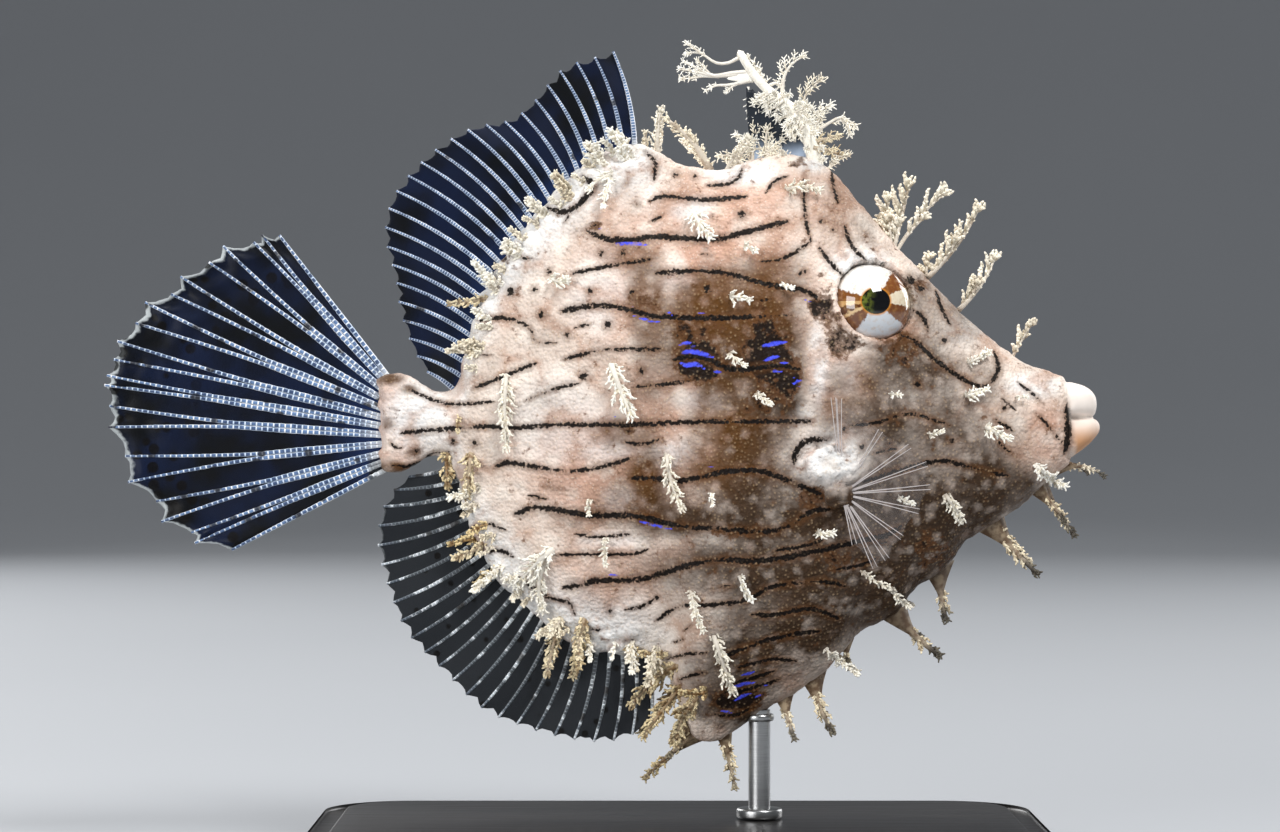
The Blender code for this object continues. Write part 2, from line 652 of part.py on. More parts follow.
def body_rings():
    """Upright slices of the whole body from the tail fin's root to the lips."""
    places = [TAIL_END]
    while places[-1] < LIP_PLANE:
        x, step = places[-1], SLICE_STEP
        while step > 0.7 and max(abs(back(x + step) - back(x)), abs(belly(x + step) - belly(x))) > SLICE_RISE:
            step *= 0.8
        places.append(min(x + step, LIP_PLANE) if LIP_PLANE - x - step > 1 else LIP_PLANE)
    rings = []
    for x in places:
        middle, half = (back(x) + belly(x)) / 2, (back(x) - belly(x)) / 2
        heights = [middle - half * math.cos(math.pi * k / SLICE_POINTS) for k in range(SLICE_POINTS + 1)]
        left = [Vector((x, skin(x, z), z)) for z in heights]
        right = [Vector((x, -skin(x, z), z)) for z in reversed(heights)]
        rings.append(left + right)
    return rings


def flesh(name, outline, made, parts, cutters):
    """One node of flesh: the part of the whole body inside an outline seen from the side."""
    bm = bmesh.new()
    loft(bm, body_rings())
    node = finish(name, bm, parts, made)
    cut(node, side_prism("keep", outline, CUTTER_HALF, cutters), "INTERSECT")
    return node


def shifted(line, dx=0.0, dz=0.0):
    return [(x + dx, z + dz) for x, z in line]


def ellipsoid(name, centre, sizes, axis, collection, made=None, segments=16, rings=8):
    """Egg shape whose own Z axis, with the last size, points along axis."""
    bm = bmesh.new()
    bmesh.ops.create_uvsphere(bm, u_segments=segments, v_segments=rings, radius=1)
    turn = axis.to_track_quat("Z", "Y").to_matrix()
    for vert in bm.verts:
        local = Vector((vert.co.x * sizes[0], vert.co.y * sizes[1], vert.co.z * sizes[2]))
        vert.co = centre + turn @ local
    return finish(name, bm, collection, made)


def ring_torus(name, centre, axis, radius, tube, collection):
    """Raised ring of skin round an eye."""
    bpy.ops.mesh.primitive_torus_add(major_segments=16, minor_segments=5, major_radius=radius,
                                     minor_radius=tube)
    made = bpy.context.object
    bm = bmesh.new()
    bm.from_mesh(made.data)
    drop(made)
    turn = axis.to_track_quat("Z", "Y").to_matrix()
    for vert in bm.verts:
        vert.co = centre + turn @ vert.co
    return finish(name, bm, collection)


def eye_place(side):
    """Centre and outward axis of an eye."""
    axis = skin_normal(EYE_X, EYE_Z, side)
    surface = Vector((EYE_X, side * skin(EYE_X, EYE_Z), EYE_Z))
    return surface - axis * EYE_SUNK, axis, surface


def make_head(parts, cutters, pieces, chance):
    made = material("head_skin", "BDA994", 0.6)
    outline = shifted(GILL_CUT, dx=GAP / 2) + [(100.0, 10.0), (100.0, 125.0)]
    head = flesh("head", outline, made, parts, cutters)
    profile_tassels(pieces, SNOUT_LOCKS, chance)
    profile_tassels(pieces, CHIN_LOCKS, chance)
    side_tassels(pieces, HEAD_FLANK_LOCKS, chance, 0)
    for side in (-1, 1):
        centre, axis, surface = eye_place(side)
        ring_torus("eye_ring", surface, axis, EYE_RADIUS + GAP, RIM_TUBE, pieces)
    fuse(head, pieces)
    for side in (-1, 1):
        centre, axis, surface = eye_place(side)
        sizes = (EYE_RADIUS + GAP, EYE_RADIUS + GAP, EYE_DEPTH_RADIUS + GAP)
        cut(head, ellipsoid("socket", centre, sizes, axis, cutters))
        for x, z in NOSTRILS:
            pit = Vector((x, side * skin(x, z), z))
            sizes = (NOSTRIL_RADIUS, NOSTRIL_RADIUS, NOSTRIL_RADIUS * 1.6)
            cut(head, ellipsoid("pit", pit, sizes, skin_normal(x, z, side), cutters, None, 6, 4))
    largest_surface(head)


def make_torso(parts, cutters, pieces, chance):
    made = material("flank_skin", "D9CBBB", 0.6)
    gill = shifted(GILL_CUT, dx=-GAP / 2)
    keel = shifted(KEEL_CUT, dx=GAP * 0.4, dz=GAP * 0.4)
    start = STALK_CUT_X + GAP / 2
    outline = gill + [(keel[-1][0], 10.0)] + keel[::-1] + [(start, 32.0), (start, 125.0)]
    torso = flesh("torso", outline, made, parts, cutters)
    profile_tassels(pieces, BACK_LOCKS, chance)
    profile_tassels(pieces, BELLY_LOCKS, chance)
    side_tassels(pieces, FLANK_LOCKS, chance, 0)
    side_tassels(pieces, ROOT_LOCKS, chance, 2.2)
    edge_tufts(pieces, BACK_LINE, DORSAL_ROOT, DORSAL_TUFTS, 1, chance)
    edge_tufts(pieces, BELLY_LINE, ANAL_ROOT, ANAL_TUFTS, -1, chance)
    for side in (-1, 1):
        pad = Vector((PAD_X, side * skin(PAD_X, PAD_Z), PAD_Z))
        ellipsoid("pad", pad, (PAD_SIZE[0], PAD_SIZE[2], PAD_SIZE[1]), Vector((0, side, 0)), pieces,
                  None, 10, 6)
    fuse(torso, pieces)
    largest_surface(torso)


def make_stalk(parts, cutters):
    made = material("stalk_skin", "E6DCCB", 0.6)
    end = STALK_CUT_X - GAP / 2
    outline = [(end, 50.0), (end, 90.0), (-50.0, 90.0), (-50.0, 50.0)]
    largest_surface(flesh("tail_stalk", outline, made, parts, cutters))


def make_keel(parts, cutters, pieces, chance):
    made = material("keel_skin", "A59A87", 0.6)
    outline = shifted(KEEL_CUT, dx=-GAP * 0.4, dz=-GAP * 0.4) + [(22.0, 5.0), (5.0, 5.0)]
    keel = flesh("pelvic_keel", outline, made, parts, cutters)
    profile_tassels(pieces, KEEL_LOCKS, chance)
    side_tassels(pieces, KEEL_SIDE_LOCKS, chance, 2.2)
    fuse(keel, pieces)
    largest_surface(keel)


def make_lips(parts):
    for name, slices, colour in (("upper_lip", UPPER_LIP, "E9E0D6"), ("lower_lip", LOWER_LIP, "D8BFA6")):
        rings = []
        for x, low, high, half in slices:
            ring = []
            for k in range(LIP_SIDES):
                a = 2 * math.pi * (k + 0.5) / LIP_SIDES
                across = math.copysign(abs(math.cos(a)) ** (2 / LIP_ROUND), math.cos(a))
                rise = math.copysign(abs(math.sin(a)) ** (2 / LIP_ROUND), math.sin(a))
                ring.append(Vector((x, half * across, (low + high) / 2 + (high - low) / 2 * rise)))
            rings.append(ring)
        bm = bmesh.new()
        loft(bm, rings)
        finish(name, bm, parts, material(name + "_skin", colour, 0.45))


def make_eyes(parts):
    made = material("eye_glass", "2A231C", 0.1)
    for side, name in ((-1, "eye_right"), (1, "eye_left")):
        centre, axis, _ = eye_place(side)
        ellipsoid(name, centre, (EYE_RADIUS, EYE_RADIUS, EYE_DEPTH_RADIUS), axis, parts, made)


def make_soft_fins(parts):
    made = material("fin_membrane", "31363D", 0.4)
    for name, line, root, edge, count, up, bow in (
            ("soft_dorsal_fin", BACK_LINE, DORSAL_ROOT, DORSAL_EDGE, DORSAL_RAYS, 1, DORSAL_BOW),
            ("anal_fin", BELLY_LINE, ANAL_ROOT, ANAL_EDGE, ANAL_RAYS, -1, ANAL_BOW)):
        rays = []
        for i, (x, z) in enumerate(root_line(line, root, count)):
            start = Vector((x, 0, z)) + outward(line, x, up) * (GAP + ROOT_CLEAR)
            rays.append(curved_ray(start, along(edge, i / (count - 1)), bow, FIN_ROWS))
        ray_fin(name, rays, Vector((0, 1, 0)), made, parts)
    rays = []
    for i, (x, z, _) in enumerate(CAUDAL_RAYS):
        part = i / (len(CAUDAL_RAYS) - 1)
        start = Vector((TAIL_END - GAP, 0, CAUDAL_ROOT[1] + (CAUDAL_ROOT[0] - CAUDAL_ROOT[1]) * part))
        rays.append(curved_ray(start, Vector((x, 0, z)), 0.0, CAUDAL_ROWS))
    forks = [spread for _, _, spread in CAUDAL_RAYS]
    ray_fin("caudal_fin", rays, Vector((0, 1, 0)), made, parts, forks)


def make_pectorals(parts, pieces):
    made = material("pectoral_membrane", "B9A790", 0.4)
    lengths = [(angle, length) for angle, length in reversed(PECTORAL_FAN)]
    for side, name in ((-1, "pectoral_fin_right"), (1, "pectoral_fin_left")):
        skin_here = skin(PECTORAL_X, PECTORAL_Z)
        centre = Vector((PECTORAL_X, side * (skin_here + FAN_OFF), PECTORAL_Z))
        rays = []
        for i in range(PECTORAL_RAYS):
            first, final = PECTORAL_FAN[0][0], PECTORAL_FAN[-1][0]
            angle = first + (final - first) * i / (PECTORAL_RAYS - 1)
            reach = through(lengths, angle)
            a = math.radians(angle)
            heading = Vector((math.cos(a) * math.cos(PECTORAL_TILT), side * math.sin(PECTORAL_TILT),
                              math.sin(a) * math.cos(PECTORAL_TILT)))
            rays.append([centre + heading * (FAN_START + (reach - FAN_START) * t) for t in PECTORAL_ROWS])
        fan = ray_fin(name, rays, Vector((0, 1, 0)), made, parts)
        lobe = ellipsoid("lobe", centre, FAN_LOBE, Vector((0, side, 0)), pieces, None, 10, 6)
        for vert in lobe.data.vertices:
            clear = skin(vert.co.x / MM, vert.co.z / MM) + GAP
            vert.co.y = side * max(abs(vert.co.y), clear * MM)
        fuse(fan, pieces)
        largest_surface(fan)


def make_spine(parts, cutters, pieces, chance):
    made = material("spine_skin", "B8AC9B", 0.6)
    rings = []
    for i, (x, z) in enumerate(SPINE_LINE):
        ahead = SPINE_LINE[min(i + 1, len(SPINE_LINE) - 1)]
        behind = SPINE_LINE[max(i - 1, 0)]
        run = Vector((ahead[0] - behind[0], 0, ahead[1] - behind[1])).normalized()
        across = run.cross(Vector((0, 1, 0)))
        ring = []
        for k in range(SPINE_SIDES):
            a = 2 * math.pi * k / SPINE_SIDES
            ring.append(Vector((x, 0, z)) + SPINE_RADII[i] * (across * math.cos(a)
                                                              + Vector((0, 1, 0)) * math.sin(a)))
        rings.append(ring)
    bm = bmesh.new()
    loft(bm, rings)
    spine = finish("dorsal_spine", bm, parts, made)
    side_prism("sail", SAIL_OUTLINE, SAIL_HALF, pieces)
    profile_tassels(pieces, SPINE_LOCKS, chance)
    fuse(spine, pieces)
    floor = [(x, back(x) + GAP) for x in (22.0, 25.0, 28.0, 30.5, 33.0, 34.6, 36.2, 38.0)]
    cut(spine, side_prism("below", floor + [(38.0, 100.0), (22.0, 100.0)], CUTTER_HALF, cutters))
    largest_surface(spine)


def make_stand(parts):
    made = material("stand_finish", "1E1C1B", 0.35)
    bm = bmesh.new()
    bmesh.ops.create_cube(bm, size=1)
    bmesh.ops.scale(bm, vec=(BASE_LENGTH, BASE_WIDTH, BASE_HEIGHT), verts=bm.verts)
    bmesh.ops.translate(bm, vec=(BASE_X, 0, BASE_HEIGHT / 2), verts=bm.verts)
    upright = [edge for edge in bm.edges if abs(edge.verts[0].co.z - edge.verts[1].co.z) > 1]
    bmesh.ops.bevel(bm, geom=upright, offset=BASE_CORNER, segments=5, profile=0.5, affect="EDGES")
    top = [edge for edge in bm.edges if min(vert.co.z for vert in edge.verts) > BASE_HEIGHT - 0.1]
    bmesh.ops.bevel(bm, geom=top, offset=BASE_EDGE, segments=2, profile=0.5, affect="EDGES")
    finish("stand_base", bm, parts, made)
    bm = bmesh.new()
    low = BASE_HEIGHT + GAP
    bmesh.ops.create_cone(bm, cap_ends=True, segments=20, radius1=ROD_RADIUS, radius2=ROD_RADIUS, depth=2)
    for vert in bm.verts:
        vert.co.x += ROD_X
        vert.co.z = low if vert.co.z < 0 else belly(vert.co.x) - GAP - 0.05
    finish("stand_rod", bm, parts, material("rod_metal", "8C8C8A", 0.3))


def main():
    for obj in list(bpy.data.objects):
        bpy.data.objects.remove(obj)
    parts = bpy.data.collections.new("tassel_filefish")
    cutters = bpy.data.collections.new("cutters")
    pieces = bpy.data.collections.new("pieces")
    for collection in (parts, cutters, pieces):
        bpy.context.scene.collection.children.link(collection)
    chance = random.Random(SEED)
    make_head(parts, cutters, pieces, chance)
    make_torso(parts, cutters, pieces, chance)
    make_stalk(parts, cutters)
    make_keel(parts, cutters, pieces, chance)
    make_lips(parts)
    make_eyes(parts)
    make_soft_fins(parts)
    make_pectorals(parts, pieces)
    make_spine(parts, cutters, pieces, chance)
    make_stand(parts)


main()
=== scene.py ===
"""Tassel filefish, life size, as a still museum model on a display stand, dressed round its solids.

Sizes and places are in millimetres along the fish, +X to the mouth, +Z up, and the photographed
right side faces -Y. Meshes are made in metres.
"""
import json
import math
import random

import bmesh
import bpy
import numpy as np
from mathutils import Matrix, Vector, kdtree, noise

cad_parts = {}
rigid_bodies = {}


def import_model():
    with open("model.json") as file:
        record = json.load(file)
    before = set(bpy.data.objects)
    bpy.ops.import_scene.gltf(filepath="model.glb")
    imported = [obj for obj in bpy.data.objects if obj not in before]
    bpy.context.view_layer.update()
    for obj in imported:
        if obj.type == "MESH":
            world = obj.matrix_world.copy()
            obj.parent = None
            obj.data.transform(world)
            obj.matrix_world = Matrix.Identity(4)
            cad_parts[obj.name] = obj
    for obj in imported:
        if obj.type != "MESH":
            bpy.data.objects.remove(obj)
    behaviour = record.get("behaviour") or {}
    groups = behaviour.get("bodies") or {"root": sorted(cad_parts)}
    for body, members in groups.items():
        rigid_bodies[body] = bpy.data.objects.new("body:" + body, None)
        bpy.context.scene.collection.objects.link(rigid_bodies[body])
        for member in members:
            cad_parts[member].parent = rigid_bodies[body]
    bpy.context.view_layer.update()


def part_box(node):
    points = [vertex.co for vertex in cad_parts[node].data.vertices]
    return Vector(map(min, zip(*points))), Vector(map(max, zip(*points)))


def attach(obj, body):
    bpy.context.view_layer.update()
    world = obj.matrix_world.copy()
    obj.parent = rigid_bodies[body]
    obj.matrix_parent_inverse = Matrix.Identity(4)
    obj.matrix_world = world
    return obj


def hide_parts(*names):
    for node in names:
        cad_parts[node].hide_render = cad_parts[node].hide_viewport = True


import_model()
bpy.ops.object.select_all(action="DESELECT")

# Camera: level with the fish's right side, as the photograph shows it, with a moderately long
# lens. At the fish's middle plane the picture is 204.8 mm wide.
MM = 0.001
CAMERA_DISTANCE = 569.0
CAMERA_PLACE = (5.9, -CAMERA_DISTANCE, 70.5)
bpy.ops.object.camera_add(location=[v * MM for v in CAMERA_PLACE], rotation=(math.pi / 2, 0, 0))
camera = bpy.context.object
camera.name = "photo_camera"
camera.data.lens = 100.0
camera.data.sensor_width = 36.0
camera.data.clip_start = 0.02
bpy.context.scene.camera = camera
bpy.context.scene.view_settings.view_transform = "Standard"

# Studio sweep: one seamless sheet of pale painted board that runs flat under the stand and curves
# up all round, so that every view has the same plain ground.
SWEEP_FLAT, SWEEP_RADIUS, SWEEP_TOP = 1.3, 1.5, 3.4


def mesh_object(name, points, faces, edges=()):
    """New object in the scene from points in metres."""
    mesh = bpy.data.meshes.new(name)
    mesh.from_pydata(points, edges, faces)
    made = bpy.data.objects.new(name, mesh)
    bpy.context.scene.collection.objects.link(made)
    return made


sweep_line = [(x, 0.0, 0.0) for x in (0.0, 0.4, 0.8)]
for i in range(13):
    turn = math.pi / 2 * i / 12
    rise = SWEEP_RADIUS * (1 - math.cos(turn))
    sweep_line.append((SWEEP_FLAT + SWEEP_RADIUS * math.sin(turn), 0.0, rise))
sweep_line.append((SWEEP_FLAT + SWEEP_RADIUS, 0.0, SWEEP_TOP))
studio_sweep = mesh_object("studio_sweep", sweep_line, [], [(i, i + 1) for i in range(len(sweep_line) - 1)])
turned = studio_sweep.modifiers.new("turned", "SCREW")
turned.steps = 96
turned.render_steps = 96
turned.merge_threshold = 0.0001
turned.use_merge_vertices = True
turned.use_normal_flip = True
bpy.context.view_layer.objects.active = studio_sweep
bpy.ops.object.modifier_apply(modifier="turned")
studio_sweep.data.shade_smooth()


def linear(hex_colour):
    """Linear colour of an sRGB hex value, for a shader socket."""
    channels = [int(hex_colour[i:i + 2], 16) / 255 for i in (0, 2, 4)]
    return (*[c / 12.92 if c <= 0.04045 else ((c + 0.055) / 1.055) ** 2.4 for c in channels], 1.0)


def wire(tree, kind, sockets, out=0, **settings):
    """Add a shader node, set its options, feed its sockets, by name or in their order, and return one
    of its outputs."""
    made = tree.nodes.new("ShaderNode" + kind)
    for name, value in settings.items():
        setattr(made, name, value)
    for name, value in sockets.items() if isinstance(sockets, dict) else enumerate(sockets):
        if isinstance(value, bpy.types.NodeSocket):
            tree.links.new(value, made.inputs[name])
        else:
            made.inputs[name].default_value = value
    return made.outputs[out]


def finish_of(name, **sockets):
    """New material with a Principled shader whose plain values are set: the material, its tree, the
    shader, and the place on the object in millimetres."""
    made = bpy.data.materials.new(name)
    made.use_nodes = True
    tree = made.node_tree
    shader = tree.nodes["Principled BSDF"]
    for socket, value in sockets.items():
        shader.inputs[socket.replace("_", " ")].default_value = value
    metres = wire(tree, "TexCoord", {}, "Object")
    place = wire(tree, "VectorMath", {0: metres, "Scale": 1 / MM}, operation="SCALE")
    return made, tree, shader, place


# Matt paint on board, so even that only a faint cloudiness half a metre across shows
board, tree, shader, place = finish_of("painted_board", Roughness=0.75)
grain = wire(tree, "TexNoise", {"Vector": place, "Scale": 0.002, "Detail": 2.0})
tree.links.new(wire(tree, "MixRGB", (grain, linear("9A9DA1"), linear("A3A5A8"))),
               shader.inputs["Base Color"])
studio_sweep.data.materials.append(board)

# Studio lights: a large soft key above and ahead of the fish, a fill at the tail side, a top light
# for the back, and two weaker ones behind, so that the far side shows its form too.
LIGHT_AIM = Vector((0.005, 0, 0.075))
for name, spot, size, watts in (("key_light", (0.45, -0.6, 0.95), 0.4, 12.0),
                                ("fill_light", (-0.75, -0.75, 0.3), 0.6, 7.0),
                                ("top_light", (-0.15, 0.15, 0.95), 0.4, 5.5),
                                ("far_light", (-0.6, 0.85, 0.5), 0.6, 6.0),
                                ("far_fill_light", (0.8, 0.75, 0.35), 0.6, 4.0)):
    bpy.ops.object.light_add(type="AREA", location=spot)
    lamp = bpy.context.object
    lamp.name = name
    lamp.data.size = size
    lamp.data.energy = watts
    lamp.rotation_euler = (LIGHT_AIM - Vector(spot)).to_track_quat("-Z", "Y").to_euler()
world = bpy.data.worlds.new("studio_air")
bpy.context.scene.world = world
world.use_nodes = True
world.node_tree.nodes["Background"].inputs["Color"].default_value = linear("E8ECF2")
world.node_tree.nodes["Background"].inputs["Strength"].default_value = 0.42

# Skin of the whole body: one sheet of painted, pebbled skin over head, flanks, tail stalk, keel and
# lips, so that no seam shows. It follows the same lines of back and belly as the solids, and its
# swellings, such as the eye rims, the lips and the pad over the side fin, are melted into it.
TAIL_END = -34.9
LIP_PLANE = 74.4
RIM_HALF = 1.0
BACK_LINE = [
    (-36.0, 76.9), (-33.0, 77.4), (-30.6, 76.8), (-28.2, 75.2), (-26.0, 74.4), (-24.0, 74.9),
    (-22.7, 76.9), (-21.7, 80.2), (-21.0, 84.0), (-19.8, 88.2), (-18.0, 92.0), (-15.8, 95.8),
    (-13.0, 99.8), (-9.6, 103.8), (-6.5, 107.2), (-3.0, 110.6), (1.0, 113.1), (5.2, 114.2),
    (9.0, 112.6), (13.0, 110.6), (18.0, 109.8), (23.0, 111.2), (28.0, 112.2), (33.0, 112.0),
    (36.2, 109.8), (40.0, 105.6), (45.0, 99.8), (50.0, 94.2), (55.0, 89.4), (60.0, 84.8),
    (65.0, 80.2), (68.0, 78.5), (71.5, 77.6), (75.0, 76.0),
]
BELLY_LINE = [
    (-36.0, 61.4), (-33.0, 61.4), (-30.6, 62.4), (-28.2, 63.8), (-26.0, 64.2), (-24.2, 63.2),
    (-22.9, 60.4), (-22.2, 56.4), (-21.1, 52.6), (-19.0, 48.6), (-16.5, 44.8), (-13.5, 41.4),
    (-10.0, 37.8), (-6.0, 34.8), (-2.0, 33.4), (3.0, 32.4), (7.4, 31.7), (9.6, 30.6),
    (11.1, 27.8), (12.2, 24.4), (13.2, 21.2), (14.8, 19.0), (17.5, 18.5), (20.5, 19.9),
    (24.0, 22.2), (28.0, 24.6), (32.0, 27.2), (35.6, 29.8), (38.6, 32.8), (41.0, 36.0),
    (44.0, 37.5), (47.0, 39.2), (50.0, 42.9), (53.0, 44.8), (55.6, 47.2), (57.6, 50.2),
    (60.2, 51.6), (63.5, 53.8), (66.5, 56.1), (69.5, 58.4), (72.5, 61.2), (75.0, 63.2),
]
BREADTH = [
    (-36.0, 2.1), (-30.0, 3.0), (-24.0, 3.8), (-16.0, 5.6), (-6.0, 8.0), (5.0, 10.2),
    (16.0, 11.8), (27.0, 12.8), (37.0, 13.0), (45.0, 12.3), (53.0, 10.6), (61.0, 8.4),
    (68.0, 6.6), (75.0, 5.0),
]
LENS_POWER = [(-36.0, 0.5), (-24.0, 0.58), (-10.0, 0.72), (50.0, 0.72), (66.0, 0.6), (75.0, 0.5)]


def through(points, x):
    """Heights at x of a smooth line through given points that never overshoots them."""
    knot_x, knot_z = np.array(points, float).T
    rise = np.diff(knot_z) / np.diff(knot_x)
    lean = np.concatenate(([rise[0]], np.zeros(len(rise) - 1), [rise[-1]]))
    both = rise[:-1] * rise[1:]
    same = both > 0
    lean[1:-1][same] = 2 * both[same] / (rise[:-1] + rise[1:])[same]
    x = np.clip(x, knot_x[0], knot_x[-1])
    i = np.clip(np.searchsorted(knot_x, x) - 1, 0, len(rise) - 1)
    width = knot_x[i + 1] - knot_x[i]
    t = (x - knot_x[i]) / width
    level = knot_z[i] * (1 + 2 * t) * (1 - t) ** 2 + knot_z[i + 1] * (3 - 2 * t) * t ** 2
    return level + width * (lean[i] * t * (1 - t) ** 2 - lean[i + 1] * (1 - t) * t ** 2)


def back(x):
    return through(BACK_LINE, x)


def belly(x):
    return through(BELLY_LINE, x)


def flank(x, z):
    """Half breadth of the body at a place seen from the side."""
    level = (2 * z - back(x) - belly(x)) / (back(x) - belly(x))
    bulge = np.maximum(0.0, 1 - level * level) ** through(LENS_POWER, x)
    return RIM_HALF + (through(BREADTH, x) - RIM_HALF) * bulge


def flank_normal(x, z, side):
    """Outward direction of the skin at a place on one side (-1 is the right side)."""
    step = 0.4
    lean_x = (flank(x + step, z) - flank(x - step, z)) / (2 * step)
    lean_z = (flank(x, z + step) - flank(x, z - step)) / (2 * step)
    return Vector((-lean_x, side, -lean_z)).normalized()


def ring_faces(first, rings, sides):
    """Quads that join rings of points, each ring to the next."""
    faces = []
    for low in range(first, first + (rings - 1) * sides, sides):
        for k in range(sides):
            j = (k + 1) % sides
            faces.append((low + k, low + j, low + sides + j, low + sides + k))
    return faces


# Slices from tail to lips, closer together where an outline climbs steeply
SLICE_STEP, SLICE_RISE, SLICE_POINTS = 1.2, 1.0, 36
slice_places = [TAIL_END]
while slice_places[-1] < LIP_PLANE:
    x, step = slice_places[-1], SLICE_STEP
    while step > 0.25 and max(abs(back(x + step) - back(x)), abs(belly(x + step) - belly(x))) > SLICE_RISE:
        step *= 0.8
    slice_places.append(min(x + step, LIP_PLANE))
skin_points = []
turn = np.pi * np.arange(SLICE_POINTS + 1) / SLICE_POINTS
for x in slice_places:
    heights = (back(x) + belly(x)) / 2 - (back(x) - belly(x)) / 2 * np.cos(turn)
    halves = flank(x, heights)
    skin_points += [(x * MM, y * MM, z * MM) for y, z in zip(halves, heights)]
    skin_points += [(x * MM, -y * MM, z * MM) for y, z in zip(halves[::-1], heights[::-1])]
around = 2 * (SLICE_POINTS + 1)
skin_faces = ring_faces(0, len(slice_places), around)
skin_faces.append(list(range(around)))
skin_faces.append([len(skin_points) - 1 - i for i in range(around)])
fish_skin = mesh_object("fish_skin", skin_points, skin_faces)

# Lips, as slices of (x, low z, high z, half breadth), each a rounded block that narrows to its tip
LIP_SLICES = (
    [(69.0, 70.2, 77.4, 4.2), (73.0, 70.2, 76.5, 4.7), (74.7, 70.2, 75.9, 4.8), (76.2, 70.2, 75.6, 4.6),
     (77.4, 70.2, 75.1, 4.1), (78.2, 70.5, 74.4, 3.3), (78.8, 71.1, 73.5, 2.1)],
    [(69.0, 61.2, 70.4, 4.0), (73.0, 62.9, 70.4, 4.5), (74.7, 63.8, 70.4, 4.6), (76.2, 64.8, 70.4, 4.4),
     (77.6, 65.9, 70.3, 3.9), (78.7, 67.1, 70.0, 2.9), (79.4, 68.0, 69.4, 1.6)],
)
LIP_ROUND = 26
for slices in LIP_SLICES:
    lip_points = []
    for lip_x, low, high, half in slices:
        for k in range(LIP_ROUND):
            a = 2 * math.pi * k / LIP_ROUND
            across = math.copysign(abs(math.cos(a)) ** 0.8, math.cos(a)) * half
            upright = math.copysign(abs(math.sin(a)) ** 0.8, math.sin(a)) * (high - low) / 2
            lip_points.append((lip_x * MM, across * MM, ((high + low) / 2 + upright) * MM))
    lip_faces = ring_faces(0, len(slices), LIP_ROUND)
    lip_faces.append(list(range(LIP_ROUND))[::-1])
    lip_faces.append([len(lip_points) - LIP_ROUND + k for k in range(LIP_ROUND)])
    mesh_object("swelling_lip", lip_points, lip_faces)

# Swellings, as (x, y, z), half sizes along X, Y and Z, and a turn about Y in degrees
EYE_X, EYE_Z = 42.9, 88.7
EYE_RADIUS, EYE_DEPTH, EYE_SUNK = 6.35, 5.0, 1.7
swellings = []
for side in (-1, 1):
    swellings += [
        ((36.3, side * (flank(36.3, 63.0) - 0.3), 63.0), (5.9, 1.9, 3.7), 12),
        ((33.0, side * (flank(33.0, 61.6) - 0.5), 61.4), (2.8, 1.5, 2.2), 0),
        ((39.6, side * (flank(39.6, 65.8) - 0.6), 65.6), (2.6, 1.4, 2.0), 0),
        ((40.8, side * (flank(40.8, 94.6) - 0.7), 94.4), (5.2, 1.6, 2.6), 28),
        ((37.0, side * (flank(37.0, 58.2) + 0.3), 58.1), (2.3, 1.5, 2.5), 0),
        ((38.6, side * (flank(38.6, 57.6) + 0.7), 57.8), (1.0, 1.3, 2.0), 0),
    ]
for i in range(8):
    swellings.append(((-34.5 - 0.5 * (i % 2), 0.0, 62.6 + 1.92 * i), (1.3, 1.5, 0.95), 0))
for spot, sizes, turn in swellings:
    bpy.ops.mesh.primitive_uv_sphere_add(segments=32, ring_count=16, radius=MM, scale=sizes,
                                         location=[v * MM for v in spot],
                                         rotation=(0, math.radians(turn), 0))
    bpy.context.object.name = "swelling"
for side in (-1, 1):
    axis = flank_normal(EYE_X, EYE_Z, side)
    rim_place = Vector((EYE_X, side * flank(EYE_X, EYE_Z), EYE_Z)) - axis * 0.2
    bpy.ops.mesh.primitive_torus_add(major_segments=64, minor_segments=12, major_radius=6.95 * MM,
                                     minor_radius=0.7 * MM, location=rim_place * MM,
                                     rotation=axis.to_track_quat("Z", "Y").to_euler())
    bpy.context.object.name = "swelling"
bpy.ops.object.select_all(action="DESELECT")
for piece in [o for o in bpy.data.objects if o.name.startswith("swelling")]:
    piece.select_set(True)
fish_skin.select_set(True)
bpy.context.view_layer.objects.active = fish_skin
bpy.ops.object.join()
melted = fish_skin.modifiers.new("melted", "REMESH")
melted.mode = "VOXEL"
melted.voxel_size = 0.465 * MM
smoothed = fish_skin.modifiers.new("smoothed", "SMOOTH")
smoothed.factor = 0.5
smoothed.iterations = 6
for step in ("melted", "smoothed"):
    bpy.ops.object.modifier_apply(modifier=step)
fish_skin.select_set(False)


def mesh_places(mesh):
    """All points of a mesh as an array, in millimetres."""
    places = np.empty(len(mesh.vertices) * 3)
    mesh.vertices.foreach_get("co", places)
    return places.reshape(-1, 3) / MM


def soft_step(low, high, value):
    t = np.clip((value - low) / (high - low), 0, 1)
    return t * t * (3 - 2 * t)


def lumps(size):
    """How far the skin swells at each of its points, for lumps of a size in millimetres."""
    return np.array([abs(noise.noise(Vector(place) / size)) for place in skin_place])


